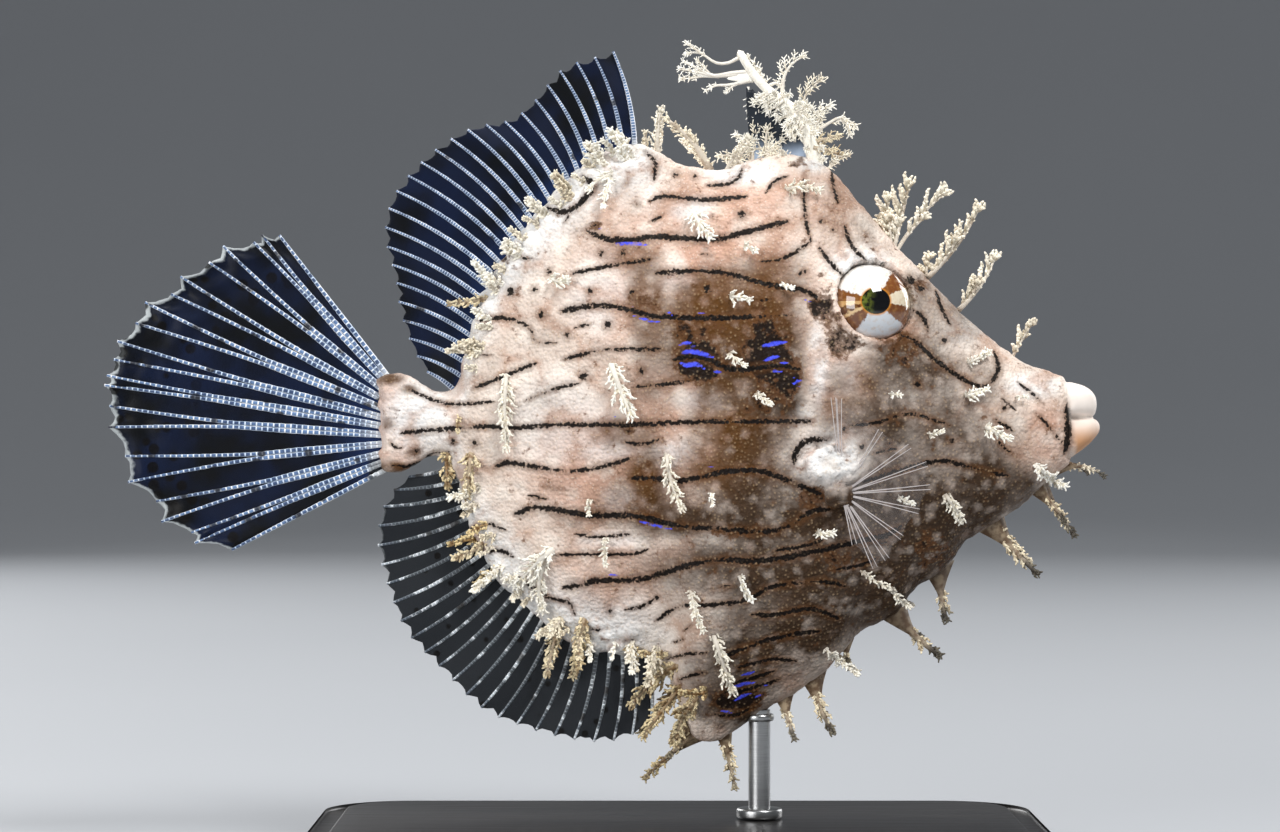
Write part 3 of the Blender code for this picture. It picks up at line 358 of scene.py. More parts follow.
# The finer form: sockets behind the eyes, pebbled relief, a gill slit, nostrils and the mouth line
skin_mesh = fish_skin.data
skin_place = mesh_places(skin_mesh)
skin_normal = np.empty(len(skin_mesh.vertices) * 3)
skin_mesh.vertices.foreach_get("normal", skin_normal)
skin_normal = skin_normal.reshape(-1, 3)
eye_axis = {}
eye_middle = {}
for side in (-1, 1):
    eye_axis[side] = flank_normal(EYE_X, EYE_Z, side)
    eye_middle[side] = Vector((EYE_X, side * flank(EYE_X, EYE_Z), EYE_Z)) - eye_axis[side] * EYE_SUNK
relief = np.zeros(len(skin_place))
for index, place in enumerate(skin_place):
    spot = Vector(place)
    near, _ = noise.voronoi(spot / 1.5)
    relief[index] = 0.34 * noise.noise(spot / 7.0) + 0.10 * noise.noise(spot / 2.2) + 0.26 * (0.5 - near[0])
x, y, z = skin_place.T
rim_depth = np.minimum(back(x) - z, z - belly(x))
near_rim = 1 - soft_step(1.5, 7.0, rim_depth)
fin_stretch = soft_step(-30, -18, x) * (1 - soft_step(4, 12, x))
relief += near_rim * fin_stretch * (1.5 * lumps(3.4) - 0.15)
puffed = np.array([noise.voronoi(Vector(place) * 0.21)[0][0] for place in skin_place])
relief += 0.32 * (0.45 - puffed)
lumpy = lumps(1.5)
for spot_x, spot_z, reach_x, reach_z in ((37.2, 58.2, 3.0, 3.2), (36.4, 63.2, 6.4, 4.4),
                                         (40.6, 94.4, 5.2, 3.0), (34.4, 79.0, 2.6, 8.0)):
    near_spot = 1 - soft_step(0.5, 1.2, np.hypot((x - spot_x) / reach_x, (z - spot_z) / reach_z))
    relief += near_spot * (1.3 * lumpy - 0.1)
relief *= 1 - soft_step(71.5, 75.0, x)
head_side = np.abs(y) > 2.5


def line_distance(start, end):
    """Distance from every point of the skin, seen from the side, to a straight line."""
    run = np.array(end) - np.array(start)
    t = np.clip(((x - start[0]) * run[0] + (z - start[1]) * run[1]) / (run @ run), 0, 1)
    return np.hypot(x - start[0] - t * run[0], z - start[1] - t * run[1])


GILL_SLIT = ((30.8, 63.8), (33.6, 66.2), (36.6, 66.9))
for start, end in zip(GILL_SLIT, GILL_SLIT[1:]):
    relief -= 1.3 * (1 - soft_step(0.0, 1.0, line_distance(start, end))) * head_side
for spot in ((50.6, 92.2), (52.2, 90.9)):
    relief -= 0.9 * (1 - soft_step(0.15, 0.8, np.hypot(x - spot[0], z - spot[1])))
relief -= 0.5 * (1 - soft_step(0.0, 0.8, np.abs(x - 74.2))) * (z > 63.5)
relief -= 0.3 * (1 - soft_step(0.0, 0.5, np.abs(z - 70.3))) * soft_step(73.5, 75.0, x)
skin_place = skin_place + skin_normal * relief[:, None]
for side in (-1, 1):
    axis = np.array(eye_axis[side])
    away = skin_place - np.array(eye_middle[side])
    height = away @ axis
    radial = np.linalg.norm(away - height[:, None] * axis, axis=1)
    inside = (radial < EYE_RADIUS) & (np.sign(skin_place[:, 1]) == side) & (height > -EYE_DEPTH - 1)
    floor = -(EYE_DEPTH + 0.2) * np.sqrt(np.clip(1 - (radial / (EYE_RADIUS + 0.1)) ** 2, 0, 1))
    skin_place[inside] += ((np.minimum(floor, height) - height)[:, None] * axis)[inside]
skin_mesh.vertices.foreach_set("co", (skin_place * MM).ravel())
skin_mesh.shade_smooth()

# The markings' routes, seen from the side, as (x, z) places with half a width in front. Near-black
# wavy lines run along the flanks and the snout
DARK_LINES = [
    (0.34, [(7.4, 104.8), (9.6, 105.6), (14.6, 105.2), (17.0, 105.1), (23.0, 105.6)]),
    (0.42, [(-3.2, 100.4), (-1.4, 99.6), (0.5, 98.8), (4.8, 98.7), (8.5, 99.2), (17.6, 98.8),
            (22.2, 99.8), (29.6, 101.7)]),
    (0.28, [(-5.4, 93.2), (0.8, 94.5), (7.8, 95.6)]),
    (0.38, [(8.5, 93.4), (14.6, 93.7), (19.4, 93.4), (22.6, 92.6), (26.7, 91.5), (32.6, 90.4),
            (34.4, 89.1)]),
    (0.40, [(-6.9, 87.2), (-2.2, 88.1), (1.4, 88.1), (5.3, 87.2), (9.1, 86.4), (19.0, 86.2), (30.4, 86.7)]),
    (0.30, [(-6.6, 79.5), (-2.2, 80.6), (1.8, 81.2), (9.8, 81.1)]),
    (0.42, [(11.2, 79.5), (14.6, 80.1), (17.6, 79.3), (19.7, 78.2), (23.7, 78.0), (28.3, 78.5),
            (31.5, 78.0)]),
    (0.30, [(4.5, 75.0), (9.1, 75.5), (13.9, 76.1)]),
    (0.34, [(-32.5, 67.8), (-19.7, 68.8), (-13.9, 68.6), (-6.9, 69.1), (4.6, 69.1), (16.0, 69.6),
            (25.1, 69.6), (33.9, 69.7)]),
    (0.36, [(-17.4, 62.2), (-15.4, 63.0), (-11.0, 62.4), (-6.9, 61.7), (-2.6, 61.9), (1.4, 62.8),
            (4.6, 63.8)]),
    (0.40, [(4.0, 60.6), (7.7, 60.6), (12.0, 60.1), (16.0, 60.8), (20.3, 61.7), (25.6, 61.6),
            (29.3, 60.3), (32.8, 58.8), (35.0, 57.9)]),
    (0.44, [(-14.2, 54.8), (-10.2, 55.8), (-2.6, 54.7), (5.0, 54.5), (9.0, 53.6), (13.1, 52.8),
            (20.3, 52.3), (27.0, 52.1), (30.6, 53.4), (33.3, 55.2), (36.2, 55.5)]),
    (0.26, [(-7.4, 48.3), (-1.4, 48.4), (4.6, 48.4), (7.2, 49.2)]),
    (0.42, [(-6.6, 43.0), (-3.0, 43.5), (-1.1, 44.1), (6.1, 44.4), (10.6, 45.7), (16.0, 47.2),
            (20.3, 47.5), (24.6, 47.3), (30.6, 48.1), (37.9, 49.7), (41.9, 50.7), (45.6, 51.5),
            (47.7, 52.9)]),
    (0.32, [(8.2, 37.6), (12.3, 40.0), (18.1, 40.3), (23.2, 41.2), (27.5, 43.3), (34.9, 44.0),
            (38.9, 43.3)]),
    (0.24, [(3.5, 39.5), (6.4, 40.1), (8.6, 41.4)]),
    (0.34, [(23.8, 38.7), (27.5, 38.7), (33.4, 39.6), (38.1, 37.9)]),
    (0.34, [(18.7, 31.8), (22.4, 33.2), (26.7, 34.7), (30.9, 35.6), (34.7, 36.1)]),
    (0.28, [(21.3, 30.2), (26.9, 31.5), (30.9, 31.3)]),
    (0.26, [(12.0, 28.2), (14.2, 29.0), (16.6, 29.4)]),
    (0.28, [(20.4, 27.6), (24.0, 28.6), (27.6, 29.8)]),
    (0.28, [(20.4, 26.0), (23.6, 26.9), (28.4, 28.4)]),
    (0.24, [(17.4, 22.8), (20.8, 22.6), (24.4, 24.0)]),
    (0.28, [(25.3, 95.2), (29.0, 95.8), (33.3, 98.4)]),
    (0.26, [(32.2, 110.2), (32.2, 107.6), (32.2, 104.6), (32.6, 100.9), (33.3, 98.5)]),
    (0.30, [(34.4, 97.6), (37.1, 94.2), (38.4, 93.1)]),
    (0.30, [(38.6, 101.1), (39.7, 97.9), (42.1, 95.3)]),
    (0.34, [(46.6, 84.1), (50.1, 82.2), (53.4, 79.3), (58.1, 76.1), (61.1, 75.3), (63.2, 77.9),
            (62.6, 80.8)]),
    (0.50, [(74.1, 72.9), (74.4, 67.8), (73.8, 64.6)]),
    (0.24, [(69.0, 71.2), (71.5, 68.6), (73.4, 66.2)]),
    (0.28, [(62.6, 70.0), (65.8, 68.0)]),
    (0.28, [(63.0, 66.6), (65.6, 64.2)]),
    (0.34, [(41.6, 60.0), (47.0, 61.6), (50.6, 62.7), (54.7, 63.3), (59.0, 62.2), (64.8, 60.9)]),
    (0.26, [(39.4, 68.9), (43.7, 69.4), (49.3, 70.8), (55.7, 68.9)]),
    (0.30, [(-21.0, 74.8), (-17.1, 76.4), (-10.7, 79.0)]),
    (0.28, [(-12.8, 72.8), (-7.7, 74.8), (-3.8, 75.8)]),
    (0.30, [(-20.3, 85.7), (-15.7, 86.2), (-11.8, 84.6), (-10.9, 82.5), (-7.4, 82.2)]),
    (0.40, [(-9.0, 103.8), (-5.8, 103.2), (-2.6, 105.7), (-1.9, 107.8), (-3.5, 108.9)]),
    (0.26, [(-5.3, 102.7), (-6.4, 101.2)]),
    (0.40, [(6.7, 112.8), (8.2, 111.0), (8.2, 108.3)]),
    (0.28, [(-15.0, 96.3), (-11.2, 95.6)]),
    (0.42, [(30.4, 62.6), (31.0, 65.0), (33.0, 66.6), (36.4, 66.8)]),
    (0.26, [(3.0, 66.4), (6.6, 66.0), (9.4, 67.0)]),
    (0.24, [(-10.2, 59.4), (-5.4, 58.6)]),
    (0.24, [(-4.6, 51.6), (-0.6, 51.2), (4.6, 51.6)]),
    (0.22, [(42.6, 64.4), (47.4, 65.4)]),
    (0.24, [(66.2, 76.0), (68.8, 74.0), (70.6, 72.4)]),
    (0.22, [(63.4, 73.6), (66.0, 71.4)]),
    (0.24, [(52.6, 80.2), (55.0, 78.4)]),
    (0.24, [(24.8, 88.9), (27.4, 89.3)]),
    (0.26, [(27.2, 48.9), (31.8, 49.6), (35.6, 50.8)]),
    (0.26, [(36.8, 46.0), (40.4, 46.4), (44.0, 47.8)]),
    (0.22, [(43.0, 50.4), (46.0, 50.2)]),
    (0.24, [(10.2, 31.6), (13.6, 32.4), (16.6, 32.6)]),
    (0.26, [(-31.8, 75.4), (-29.4, 74.0), (-26.2, 72.8), (-22.8, 72.4), (-17.4, 72.8)]),
    (0.24, [(-33.8, 62.6), (-31.9, 62.4), (-29.4, 63.0), (-27.2, 64.5), (-24.0, 64.8)]),
    (0.22, [(-34.4, 66.6), (-33.0, 65.4), (-31.8, 65.6)]),
    (0.20, [(-34.2, 71.8), (-32.6, 71.4)]),
    (0.30, [(-21.6, 52.4), (-18.4, 53.2), (-15.6, 52.2)]),
    (0.32, [(-20.0, 48.6), (-16.8, 49.0), (-14.4, 48.0)]),
    (0.28, [(-13.6, 44.8), (-9.0, 41.6), (-5.6, 40.6), (-4.4, 38.6)]),
    (0.28, [(-12.0, 57.8), (-8.8, 57.2)]),
    (0.22, [(-2.8, 37.2), (-1.4, 36.2), (0.6, 36.6)]),
    (0.24, [(-20.4, 84.8), (-17.2, 84.4)]),
    (0.26, [(-16.4, 100.4), (-13.4, 102.2), (-10.4, 101.4)]),
    (0.30, [(49.4, 87.6), (51.2, 86.2), (52.0, 84.0)]),
    (0.26, [(53.2, 90.6), (54.2, 87.6), (55.6, 85.0)]),
    (0.28, [(16.4, 107.4), (19.8, 107.6), (21.6, 108.6), (22.4, 110.4)]),
    (0.26, [(26.0, 106.2), (27.4, 108.0), (29.8, 109.0)]),
    (0.30, [(7.4, 101.6), (9.4, 102.4)]),
    (0.40, [(-3.4, 100.2), (-1.0, 101.2)]),
    (0.30, [(36.6, 109.6), (36.8, 107.2), (37.6, 104.6)]),
    (0.26, [(0.6, 107.6), (0.4, 104.6)]),
    (0.24, [(15.4, 96.4), (17.8, 96.2)]),
    (0.24, [(-21.4, 80.2), (-17.6, 80.2)]),
    (0.24, [(-4.6, 84.6), (-1.6, 85.4)]),
    (0.24, [(3.2, 34.4), (5.2, 34.6)]),
    (0.24, [(11.0, 34.2), (13.0, 34.8)]),
    (0.24, [(13.0, 36.2), (14.4, 37.2)]),
    (0.24, [(18.2, 43.2), (21.4, 43.2)]),
]
# Violet-blue dashes lie beside the dark lines of the saddle and on the keel
BLUE_LINES = [
    (0.26, [(12.4, 80.6), (14.0, 80.8), (15.8, 80.5), (17.6, 79.9)]),
    (0.26, [(12.2, 79.0), (13.4, 78.6), (15.0, 78.8), (16.2, 78.0)]),
    (0.24, [(17.2, 77.8), (19.2, 77.4)]),
    (0.24, [(25.2, 81.6), (27.0, 82.0), (29.4, 82.4)]),
    (0.22, [(25.6, 79.2), (27.0, 79.8), (28.6, 80.2)]),
    (0.22, [(26.6, 77.8), (28.6, 77.6)]),
    (0.20, [(30.2, 75.8), (31.6, 75.2)]),
    (0.18, [(1.2, 97.9), (4.0, 98.1), (7.4, 97.9)]),
    (0.16, [(4.6, 86.6), (7.6, 85.7), (9.2, 85.6)]),
    (0.16, [(9.2, 87.2), (10.6, 87.0), (11.6, 86.0)]),
    (0.16, [(3.2, 88.2), (5.2, 88.0)]),
    (0.16, [(7.4, 94.8), (8.2, 94.4)]),
    (0.16, [(20.6, 106.2), (22.2, 106.4)]),
    (0.16, [(32.0, 89.2), (33.6, 88.6)]),
    (0.20, [(20.6, 27.0), (22.4, 27.6), (24.4, 27.9)]),
    (0.20, [(21.0, 24.9), (22.6, 25.8), (24.0, 26.2)]),
    (0.18, [(24.2, 25.4), (25.6, 26.0)]),
    (0.18, [(18.6, 23.4), (20.8, 23.0)]),
    (0.18, [(25.6, 27.2), (26.6, 27.6)]),
    (0.16, [(5.2, 53.8), (8.2, 53.0), (11.0, 52.4)]),
    (0.20, [(11.8, 81.8), (13.4, 82.2), (15.0, 81.8)]),
    (0.20, [(28.0, 79.0), (29.8, 79.0)]),
    (0.18, [(30.0, 76.8), (31.4, 76.2), (32.4, 76.4)]),
    (0.18, [(15.0, 86.9), (17.0, 86.8)]),
    (0.16, [(-1.0, 100.6), (0.6, 100.2)]),
    (0.16, [(1.0, 70.0), (2.0, 70.4)]),
    (0.16, [(16.4, 62.2), (17.6, 62.4)]),
    (0.18, [(22.0, 29.0), (24.4, 29.6)]),
    (0.14, [(0.2, 45.2), (2.6, 45.0)]),
    (0.18, [(49.8, 89.4), (50.2, 88.6)]),
]
# Brown spots as (x, z, radius)
DARK_SPOTS = [
    (3.7, 107.8, 0.5), (5.4, 104.4, 0.5), (-0.3, 96.5, 0.6), (3.2, 96.6, 0.6), (-2.1, 90.5, 0.5),
    (4.6, 90.3, 0.5), (-9.9, 86.7, 0.6), (0.7, 85.1, 0.6), (-5.9, 83.6, 0.6), (6.1, 77.7, 0.6),
    (-3.2, 76.9, 0.8), (16.6, 90.9, 0.7), (11.6, 109.1, 0.5), (14.6, 108.9, 0.4), (17.4, 102.4, 0.3),
    (22.2, 102.8, 0.7), (32.2, 93.6, 0.4), (31.4, 93.2, 0.3), (-17.2, 91.8, 0.8), (-14.8, 90.4, 0.7),
    (-11.0, 90.7, 0.5), (-8.6, 93.6, 0.5), (38.6, 68.4, 0.4), (41.4, 65.6, 0.5), (55.8, 66.6, 0.6),
    (50.4, 75.6, 0.6), (46.0, 66.2, 0.4), (64.2, 71.8, 0.4), (34.8, 101.6, 0.4), (36.8, 100.2, 0.3),
    (52.0, 92.9, 0.5), (49.2, 92.3, 0.8), (50.9, 91.0, 0.7), (54.6, 82.6, 0.5), (8.6, 41.4, 0.4),
    (1.0, 39.2, 0.5), (4.8, 34.6, 0.6), (-20.6, 66.2, 0.6), (-24.0, 66.4, 0.5), (-29.8, 65.0, 0.5),
]
# A mark on the bulging flank lies a little closer to the body's middle than one on its rim, because
# the side that carries it comes forward by its breadth; the left side's marks wander a little
MARK_MIDDLE = (5.9, 70.5)
MARK_SPREAD = 1 / CAMERA_DISTANCE
LEFT_WANDER = 2.2
ROUTE_STEP = 0.3
LINE_TAPER = 1.5
SPOT_SHARE = 0.78


def dense_route(points, step=ROUTE_STEP):
    """Closely spaced places on a smooth curve through a route's points."""
    ends = [2 * Vector(points[0]) - Vector(points[1])] + [Vector(p) for p in points]
    ends.append(2 * Vector(points[-1]) - Vector(points[-2]))
    places = []
    for p0, p1, p2, p3 in zip(ends, ends[1:], ends[2:], ends[3:]):
        pieces = max(2, int((p2 - p1).length / step))
        for i in range(pieces):
            t = i / pieces
            places.append(0.5 * (2 * p1 + (p2 - p0) * t + (2 * p0 - 5 * p1 + 4 * p2 - p3) * t * t
                                 + (3 * p1 - p0 - 3 * p2 + p3) * t ** 3))
    return places + [Vector(points[-1])]


def mark_distance(lines, spots, places):
    """For each place, its distance to the nearest mark, in half widths of that mark."""
    marks = []
    for half, points in lines:
        route = dense_route(points)
        for i, place in enumerate(route):
            taper = min(1.0, 0.45 + 0.6 * min(i, len(route) - 1 - i) * ROUTE_STEP / LINE_TAPER)
            marks.append((place, half * taper))
    for spot_x, spot_z, radius in spots:
        marks.append((Vector((spot_x, spot_z)), SPOT_SHARE * radius))
    tree = kdtree.KDTree(len(marks))
    for i, (place, _) in enumerate(marks):
        tree.insert((place.x, place.y, 0), i)
    tree.balance()
    found = np.empty(len(places))
    for i, place in enumerate(places):
        found[i] = min(far / marks[index][1] for _, index, far in tree.find_n((place[0], place[1], 0), 3))
    return np.minimum(found, 30.0)


def blotches(spots, places):
    """Soft patches that blend where they meet, each (x, z, half length, half height, strength)."""
    bare = np.ones(len(places))
    for spot_x, spot_z, half_x, half_z, strength in spots:
        far = np.hypot((places[:, 0] - spot_x) / half_x, (places[:, 1] - spot_z) / half_z)
        bare *= 1 - strength * (1 - soft_step(0.35, 1.3, far))
    return 1 - bare


def seen_places(places):
    """Where each point of the skin lies on the chart of markings."""
    x, y, z = places.T
    spread = 1 / (1 - np.abs(y) * MARK_SPREAD)
    seen = np.stack((MARK_MIDDLE[0] + (x - MARK_MIDDLE[0]) * spread,
                     MARK_MIDDLE[1] + (z - MARK_MIDDLE[1]) * spread), axis=1)
    for i in np.nonzero(y > 0)[0]:
        spot = Vector((x[i] / 11, 7.3, z[i] / 11))
        seen[i] += LEFT_WANDER * min(1.0, y[i] / 3) * np.array((noise.noise(spot), noise.noise(spot.zyx)))
    return seen


def point_values(mesh, name, values):
    layer = mesh.attributes.new(name, "FLOAT", "POINT")
    layer.data.foreach_set("value", np.asarray(values, np.float32))


chart = seen_places(skin_place)
x, y, z = skin_place.T
rim_depth = np.minimum(back(x) - z, z - belly(x))
point_values(skin_mesh, "dark_line", mark_distance(DARK_LINES, DARK_SPOTS, chart))
point_values(skin_mesh, "blue_line", mark_distance(BLUE_LINES, [], chart))
# Soft patches on the chart, as (x, z, half length, half height, strength)
SADDLE = [
    (15.4, 79.2, 4.4, 3.8, 1.0), (26.2, 80.6, 4.2, 5.4, 0.95), (29.4, 77.0, 2.6, 4.4, 0.85),
    (38.4, 82.0, 3.6, 2.4, 0.62), (34.8, 88.4, 2.4, 3.4, 0.62), (36.8, 85.0, 2.0, 3.0, 0.45),
    (14.6, 84.6, 4.6, 3.2, 0.42), (25.6, 86.6, 4.6, 3.0, 0.38), (47.6, 80.4, 3.6, 2.2, 0.45),
    (46.4, 83.4, 2.6, 1.6, 0.45), (33.6, 57.6, 2.8, 2.2, 0.60), (25.6, 73.0, 4.4, 3.0, 0.42),
    (21.6, 25.2, 5.0, 2.4, 0.75), (7.2, 88.6, 2.4, 2.4, 0.36), (6.8, 54.6, 2.4, 1.6, 0.42),
    (52.6, 49.0, 4.0, 3.0, 0.42), (37.6, 47.6, 4.0, 2.6, 0.40), (-1.6, 101.0, 1.6, 1.0, 0.5),
    (-16.0, 95.6, 2.4, 1.0, 0.38), (6.4, 61.6, 1.4, 2.6, 0.38), (50.0, 91.4, 1.8, 1.2, 0.6),
    (31.0, 111.0, 2.0, 1.0, 0.45), (4.4, 68.4, 2.2, 1.0, 0.42), (21.0, 51.6, 5.0, 1.2, 0.36),
]
point_values(skin_mesh, "saddle", blotches(SADDLE, chart))
WASH = [
    (-34.2, 76.6, 2.6, 1.3, 0.62), (-33.8, 62.2, 3.2, 1.2, 0.72), (-34.4, 69.2, 1.0, 1.2, 0.4),
    (-31.0, 74.8, 1.6, 0.8, 0.4), (-30.4, 64.6, 1.4, 0.8, 0.36), (20.5, 84.0, 12.5, 10.0, 0.52),
    (25.5, 79.0, 7.0, 9.0, 0.45), (15.0, 57.0, 12.0, 7.0, 0.30), (31.0, 57.0, 7.0, 7.0, 0.40),
    (24.0, 47.0, 12.0, 5.0, 0.30), (26.0, 33.0, 12.0, 6.0, 0.35), (47.0, 46.0, 10.0, 9.0, 0.95),
    (54.0, 53.0, 10.0, 8.0, 0.88), (62.0, 60.0, 8.0, 6.0, 0.60), (38.0, 42.0, 12.0, 9.0, 0.80),
    (44.0, 57.0, 10.0, 7.0, 0.78), (49.0, 68.0, 13.0, 9.0, 0.52), (49.0, 79.0, 8.0, 5.0, 0.66),
    (28.0, 39.0, 12.0, 8.0, 0.60), (21.0, 29.0, 9.0, 6.0, 0.58), (21.0, 24.0, 6.0, 4.0, 0.72),
    (22.6, 62.0, 4.2, 20.0, 0.66), (26.6, 76.0, 6.0, 10.0, 0.76), (28.0, 64.0, 4.0, 14.0, 0.40),
    (15.0, 84.0, 5.6, 8.0, 0.66), (7.0, 89.0, 3.6, 9.0, 0.52), (7.0, 60.0, 3.2, 10.0, 0.50),
    (12.0, 54.0, 8.0, 2.8, 0.52), (17.0, 46.0, 10.0, 5.0, 0.36), (61.0, 70.0, 9.0, 6.0, 0.16),
    (40.0, 103.0, 5.0, 9.0, 0.18), (55.0, 88.0, 8.0, 7.0, 0.32), (22.0, 91.0, 10.0, 5.0, 0.42),
    (68.0, 66.0, 8.0, 6.0, 0.10), (36.0, 55.0, 6.0, 6.0, 0.66), (3.0, 68.0, 5.0, 3.0, 0.40),
    (16.0, 66.0, 4.0, 9.0, 0.26), (40.0, 72.0, 7.0, 8.0, 0.42), (33.0, 104.0, 6.0, 7.0, 0.12),
    (10.0, 45.0, 9.0, 4.0, 0.20), (-2.0, 54.0, 8.0, 2.0, 0.26), (5.0, 96.0, 5.0, 3.0, 0.25),
    (19.0, 70.0, 5.0, 16.0, 0.42), (9.0, 78.0, 5.0, 10.0, 0.30), (28.0, 92.0, 6.0, 6.0, 0.34),
    (4.0, 58.0, 6.0, 6.0, 0.28), (30.0, 50.0, 9.0, 6.0, 0.45), (58.0, 77.0, 7.0, 3.6, 0.24),
    (66.0, 58.0, 6.0, 4.0, 0.5),
]
WHITE = [(36.3, 63.6, 6.8, 5.2, 1.0), (40.8, 94.6, 5.6, 3.4, 1.0), (34.4, 79.0, 1.8, 7.4, 0.85)]
WASH_DEPTH = 2.1
washed = 1 - (1 - blotches(WASH, chart)) ** WASH_DEPTH
point_values(skin_mesh, "wash", washed * (1 - blotches(WHITE, chart)))
PALE = [
    *WHITE, (30.8, 70.8, 4.0, 2.0, 0.6), (38.4, 76.8, 3.0, 3.0, 0.55), (14.0, 103.6, 4.0, 2.4, 0.7),
    (-1.0, 90.0, 6.0, 7.0, 0.4), (69.0, 75.4, 5.0, 2.4, 0.8), (57.0, 84.0, 4.0, 3.0, 0.35),
    (22.0, 109.4, 7.0, 2.4, 0.9), (-29.6, 70.6, 7.0, 7.0, 0.9), (-8.0, 70.0, 10.0, 8.0, 0.4),
    (12.0, 92.0, 3.6, 2.0, 0.4), (33.6, 111.4, 3.0, 2.2, 1.0), (10.8, 64.6, 4.6, 3.0, 0.7),
    (3.4, 57.0, 5.0, 2.6, 0.5), (1.0, 65.0, 5.0, 2.2, 0.5), (1.4, 50.8, 6.0, 1.6, 0.5),
    (15.6, 73.0, 5.0, 2.0, 0.6), (19.8, 82.0, 1.2, 3.2, 0.45), (1.0, 36.8, 7.0, 2.6, 0.8),
    (7.0, 35.0, 5.0, 2.4, 0.5),
]
point_values(skin_mesh, "pale", np.maximum(blotches(PALE, chart),
                                           (1 - soft_step(2.0, 13.0, rim_depth)) * fin_stretch))
WARM = [
    (-34.0, 69.0, 5.0, 10.0, 0.9), (16.0, 92.0, 22.0, 16.0, 1.0), (24.0, 104.0, 14.0, 7.0, 0.8),
    (0.0, 62.0, 14.0, 12.0, 0.9), (14.0, 68.0, 14.0, 12.0, 0.9), (0.0, 45.0, 12.0, 8.0, 0.6),
    (70.0, 67.0, 7.0, 6.0, 1.0), (38.0, 76.0, 6.0, 6.0, 0.8), (46.0, 84.0, 5.0, 3.0, 1.0),
    (38.0, 106.0, 6.0, 5.0, 0.5),
]
point_values(skin_mesh, "warm", blotches(WARM, chart))
point_values(skin_mesh, "lip", soft_step(73.9, 75.0, x + 0.15 * (z - 70)))

# Settings that many nodes share
SOFT = {"interpolation_type": "SMOOTHSTEP"}
TIMES = {"operation": "MULTIPLY"}
PLUS = {"operation": "ADD"}
# Painted skin: matt to satin, with pale grains a millimetre apart that give the eye a fine pebble
painted_skin, tree, shader, place = finish_of("painted_skin", IOR=1.42, Specular_IOR_Level=0.16)
mark = {name: wire(tree, "Attribute", {}, "Fac", attribute_name=name)
        for name in ("dark_line", "blue_line", "saddle", "wash", "pale", "warm", "lip")}
broad = wire(tree, "TexNoise", {"Vector": place, "Scale": 0.16, "Detail": 3.0})
mottle = wire(tree, "TexNoise", {"Vector": place, "Scale": 0.62, "Detail": 4.0, "Roughness": 0.62})
fine = wire(tree, "TexNoise", {"Vector": place, "Scale": 2.1, "Detail": 2.0})
grains, small_grains, puffs, dabs = [
    wire(tree, "TexVoronoi", {"Vector": place, "Scale": scale, "Randomness": loose}, "Distance")
    for scale, loose in ((1.5, 0.8), (1.9, 1.0), (0.21, 0.9), (0.40, 1.0))]
warmth = wire(tree, "Math", (mark["warm"], wire(tree, "MapRange", (broad, 0.25, 0.60), **SOFT)), **TIMES)
pale_share = wire(tree, "MapRange", (mottle, 0.15, 0.5, 0.0, 0.9), **SOFT)
pale_share = wire(tree, "Math", (mark["pale"], pale_share), **TIMES)
# Lumps some 5 mm across, pale at their crowns and brown round their edges: partly the skin's own pale
# patches with brown outlines, partly painted light on the crowns and painted shade in the valleys between
# the lumps
puff_edge = wire(tree, "Math", (puffs, wire(tree, "MapRange", (mottle, 0.0, 1.0, -0.25, 0.25))), **PLUS)
pale_lit_crown = wire(tree, "MapRange", (puff_edge, 0.46, 0.14, 0.0, 0.5), **SOFT)
brown_shaded_valley = wire(tree, "MapRange", (puff_edge, 0.50, 0.84, 0.0, 0.6), **SOFT)
tan_share = wire(tree, "MapRange", (mottle, 0.48, 0.72, 0.0, 0.16), **SOFT)
speck_share = wire(tree, "MapRange", (small_grains, 0.12, 0.34, 0.32, 0.0))
stray = wire(tree, "MapRange", (broad, 0.40, 0.78, 0.0, 0.25), **SOFT)
wash_share = wire(tree, "Math", (mark["wash"], stray), **PLUS)
dabs = wire(tree, "Math", (dabs, wire(tree, "MapRange", (mottle, 0.0, 1.0, -0.35, 0.35))), **PLUS)
for thinned in (wire(tree, "MapRange", (mottle, 0.30, 0.58, 0.93, 1.0)),
                wire(tree, "MapRange", (dabs, 0.12, 0.48, 0.74, 1.0))):
    wash_share = wire(tree, "Math", (wash_share, thinned), **TIMES)
wash_colour = wire(tree, "MixRGB", (mark["warm"], linear("3D2D20"), linear("583816")))
brown_fleck = wire(tree, "MapRange", (fine, 0.52, 0.64), **SOFT)
for zone in (wire(tree, "MapRange", (mottle, 0.44, 0.58), **SOFT),
             wire(tree, "MapRange", (broad, 0.38, 0.62, 0.0, 0.25), **SOFT)):
    brown_fleck = wire(tree, "Math", (brown_fleck, zone), **TIMES)
ragged = wire(tree, "MapRange", (mottle, 0.0, 1.0, -0.95, 0.95))
saddle_edge = wire(tree, "Math", (mark["saddle"], ragged), **PLUS)
brown_share = wire(tree, "MapRange", (saddle_edge, 0.20, 0.44, 0.0, 0.8), **SOFT)
black_share = wire(tree, "MapRange", (saddle_edge, 0.44, 0.70, 0.0, 0.95), **SOFT)
rough_edge = mark["dark_line"]
for wear in (wire(tree, "MapRange", (fine, 0.0, 1.0, -1.3, 1.3)),
             wire(tree, "MapRange", (broad, 0.52, 0.72, 0.0, 0.8), **SOFT)):
    rough_edge = wire(tree, "Math", (rough_edge, wear), **PLUS)
halo = wire(tree, "MapRange", (rough_edge, 0.8, 3.4, 0.62, 0.0))
line_share = wire(tree, "MapRange", (rough_edge, 0.85, 1.25, 0.98, 0.0))
grain_share = wire(tree, "MapRange", (grains, 0.12, 0.38, 0.30, 0.0))
for zone in (wire(tree, "MapRange", (fine, 0.26, 0.62), **SOFT),
             wire(tree, "MapRange", (line_share, 0.0, 1.0, 1.0, 0.25))):
    grain_share = wire(tree, "Math", (grain_share, zone), **TIMES)
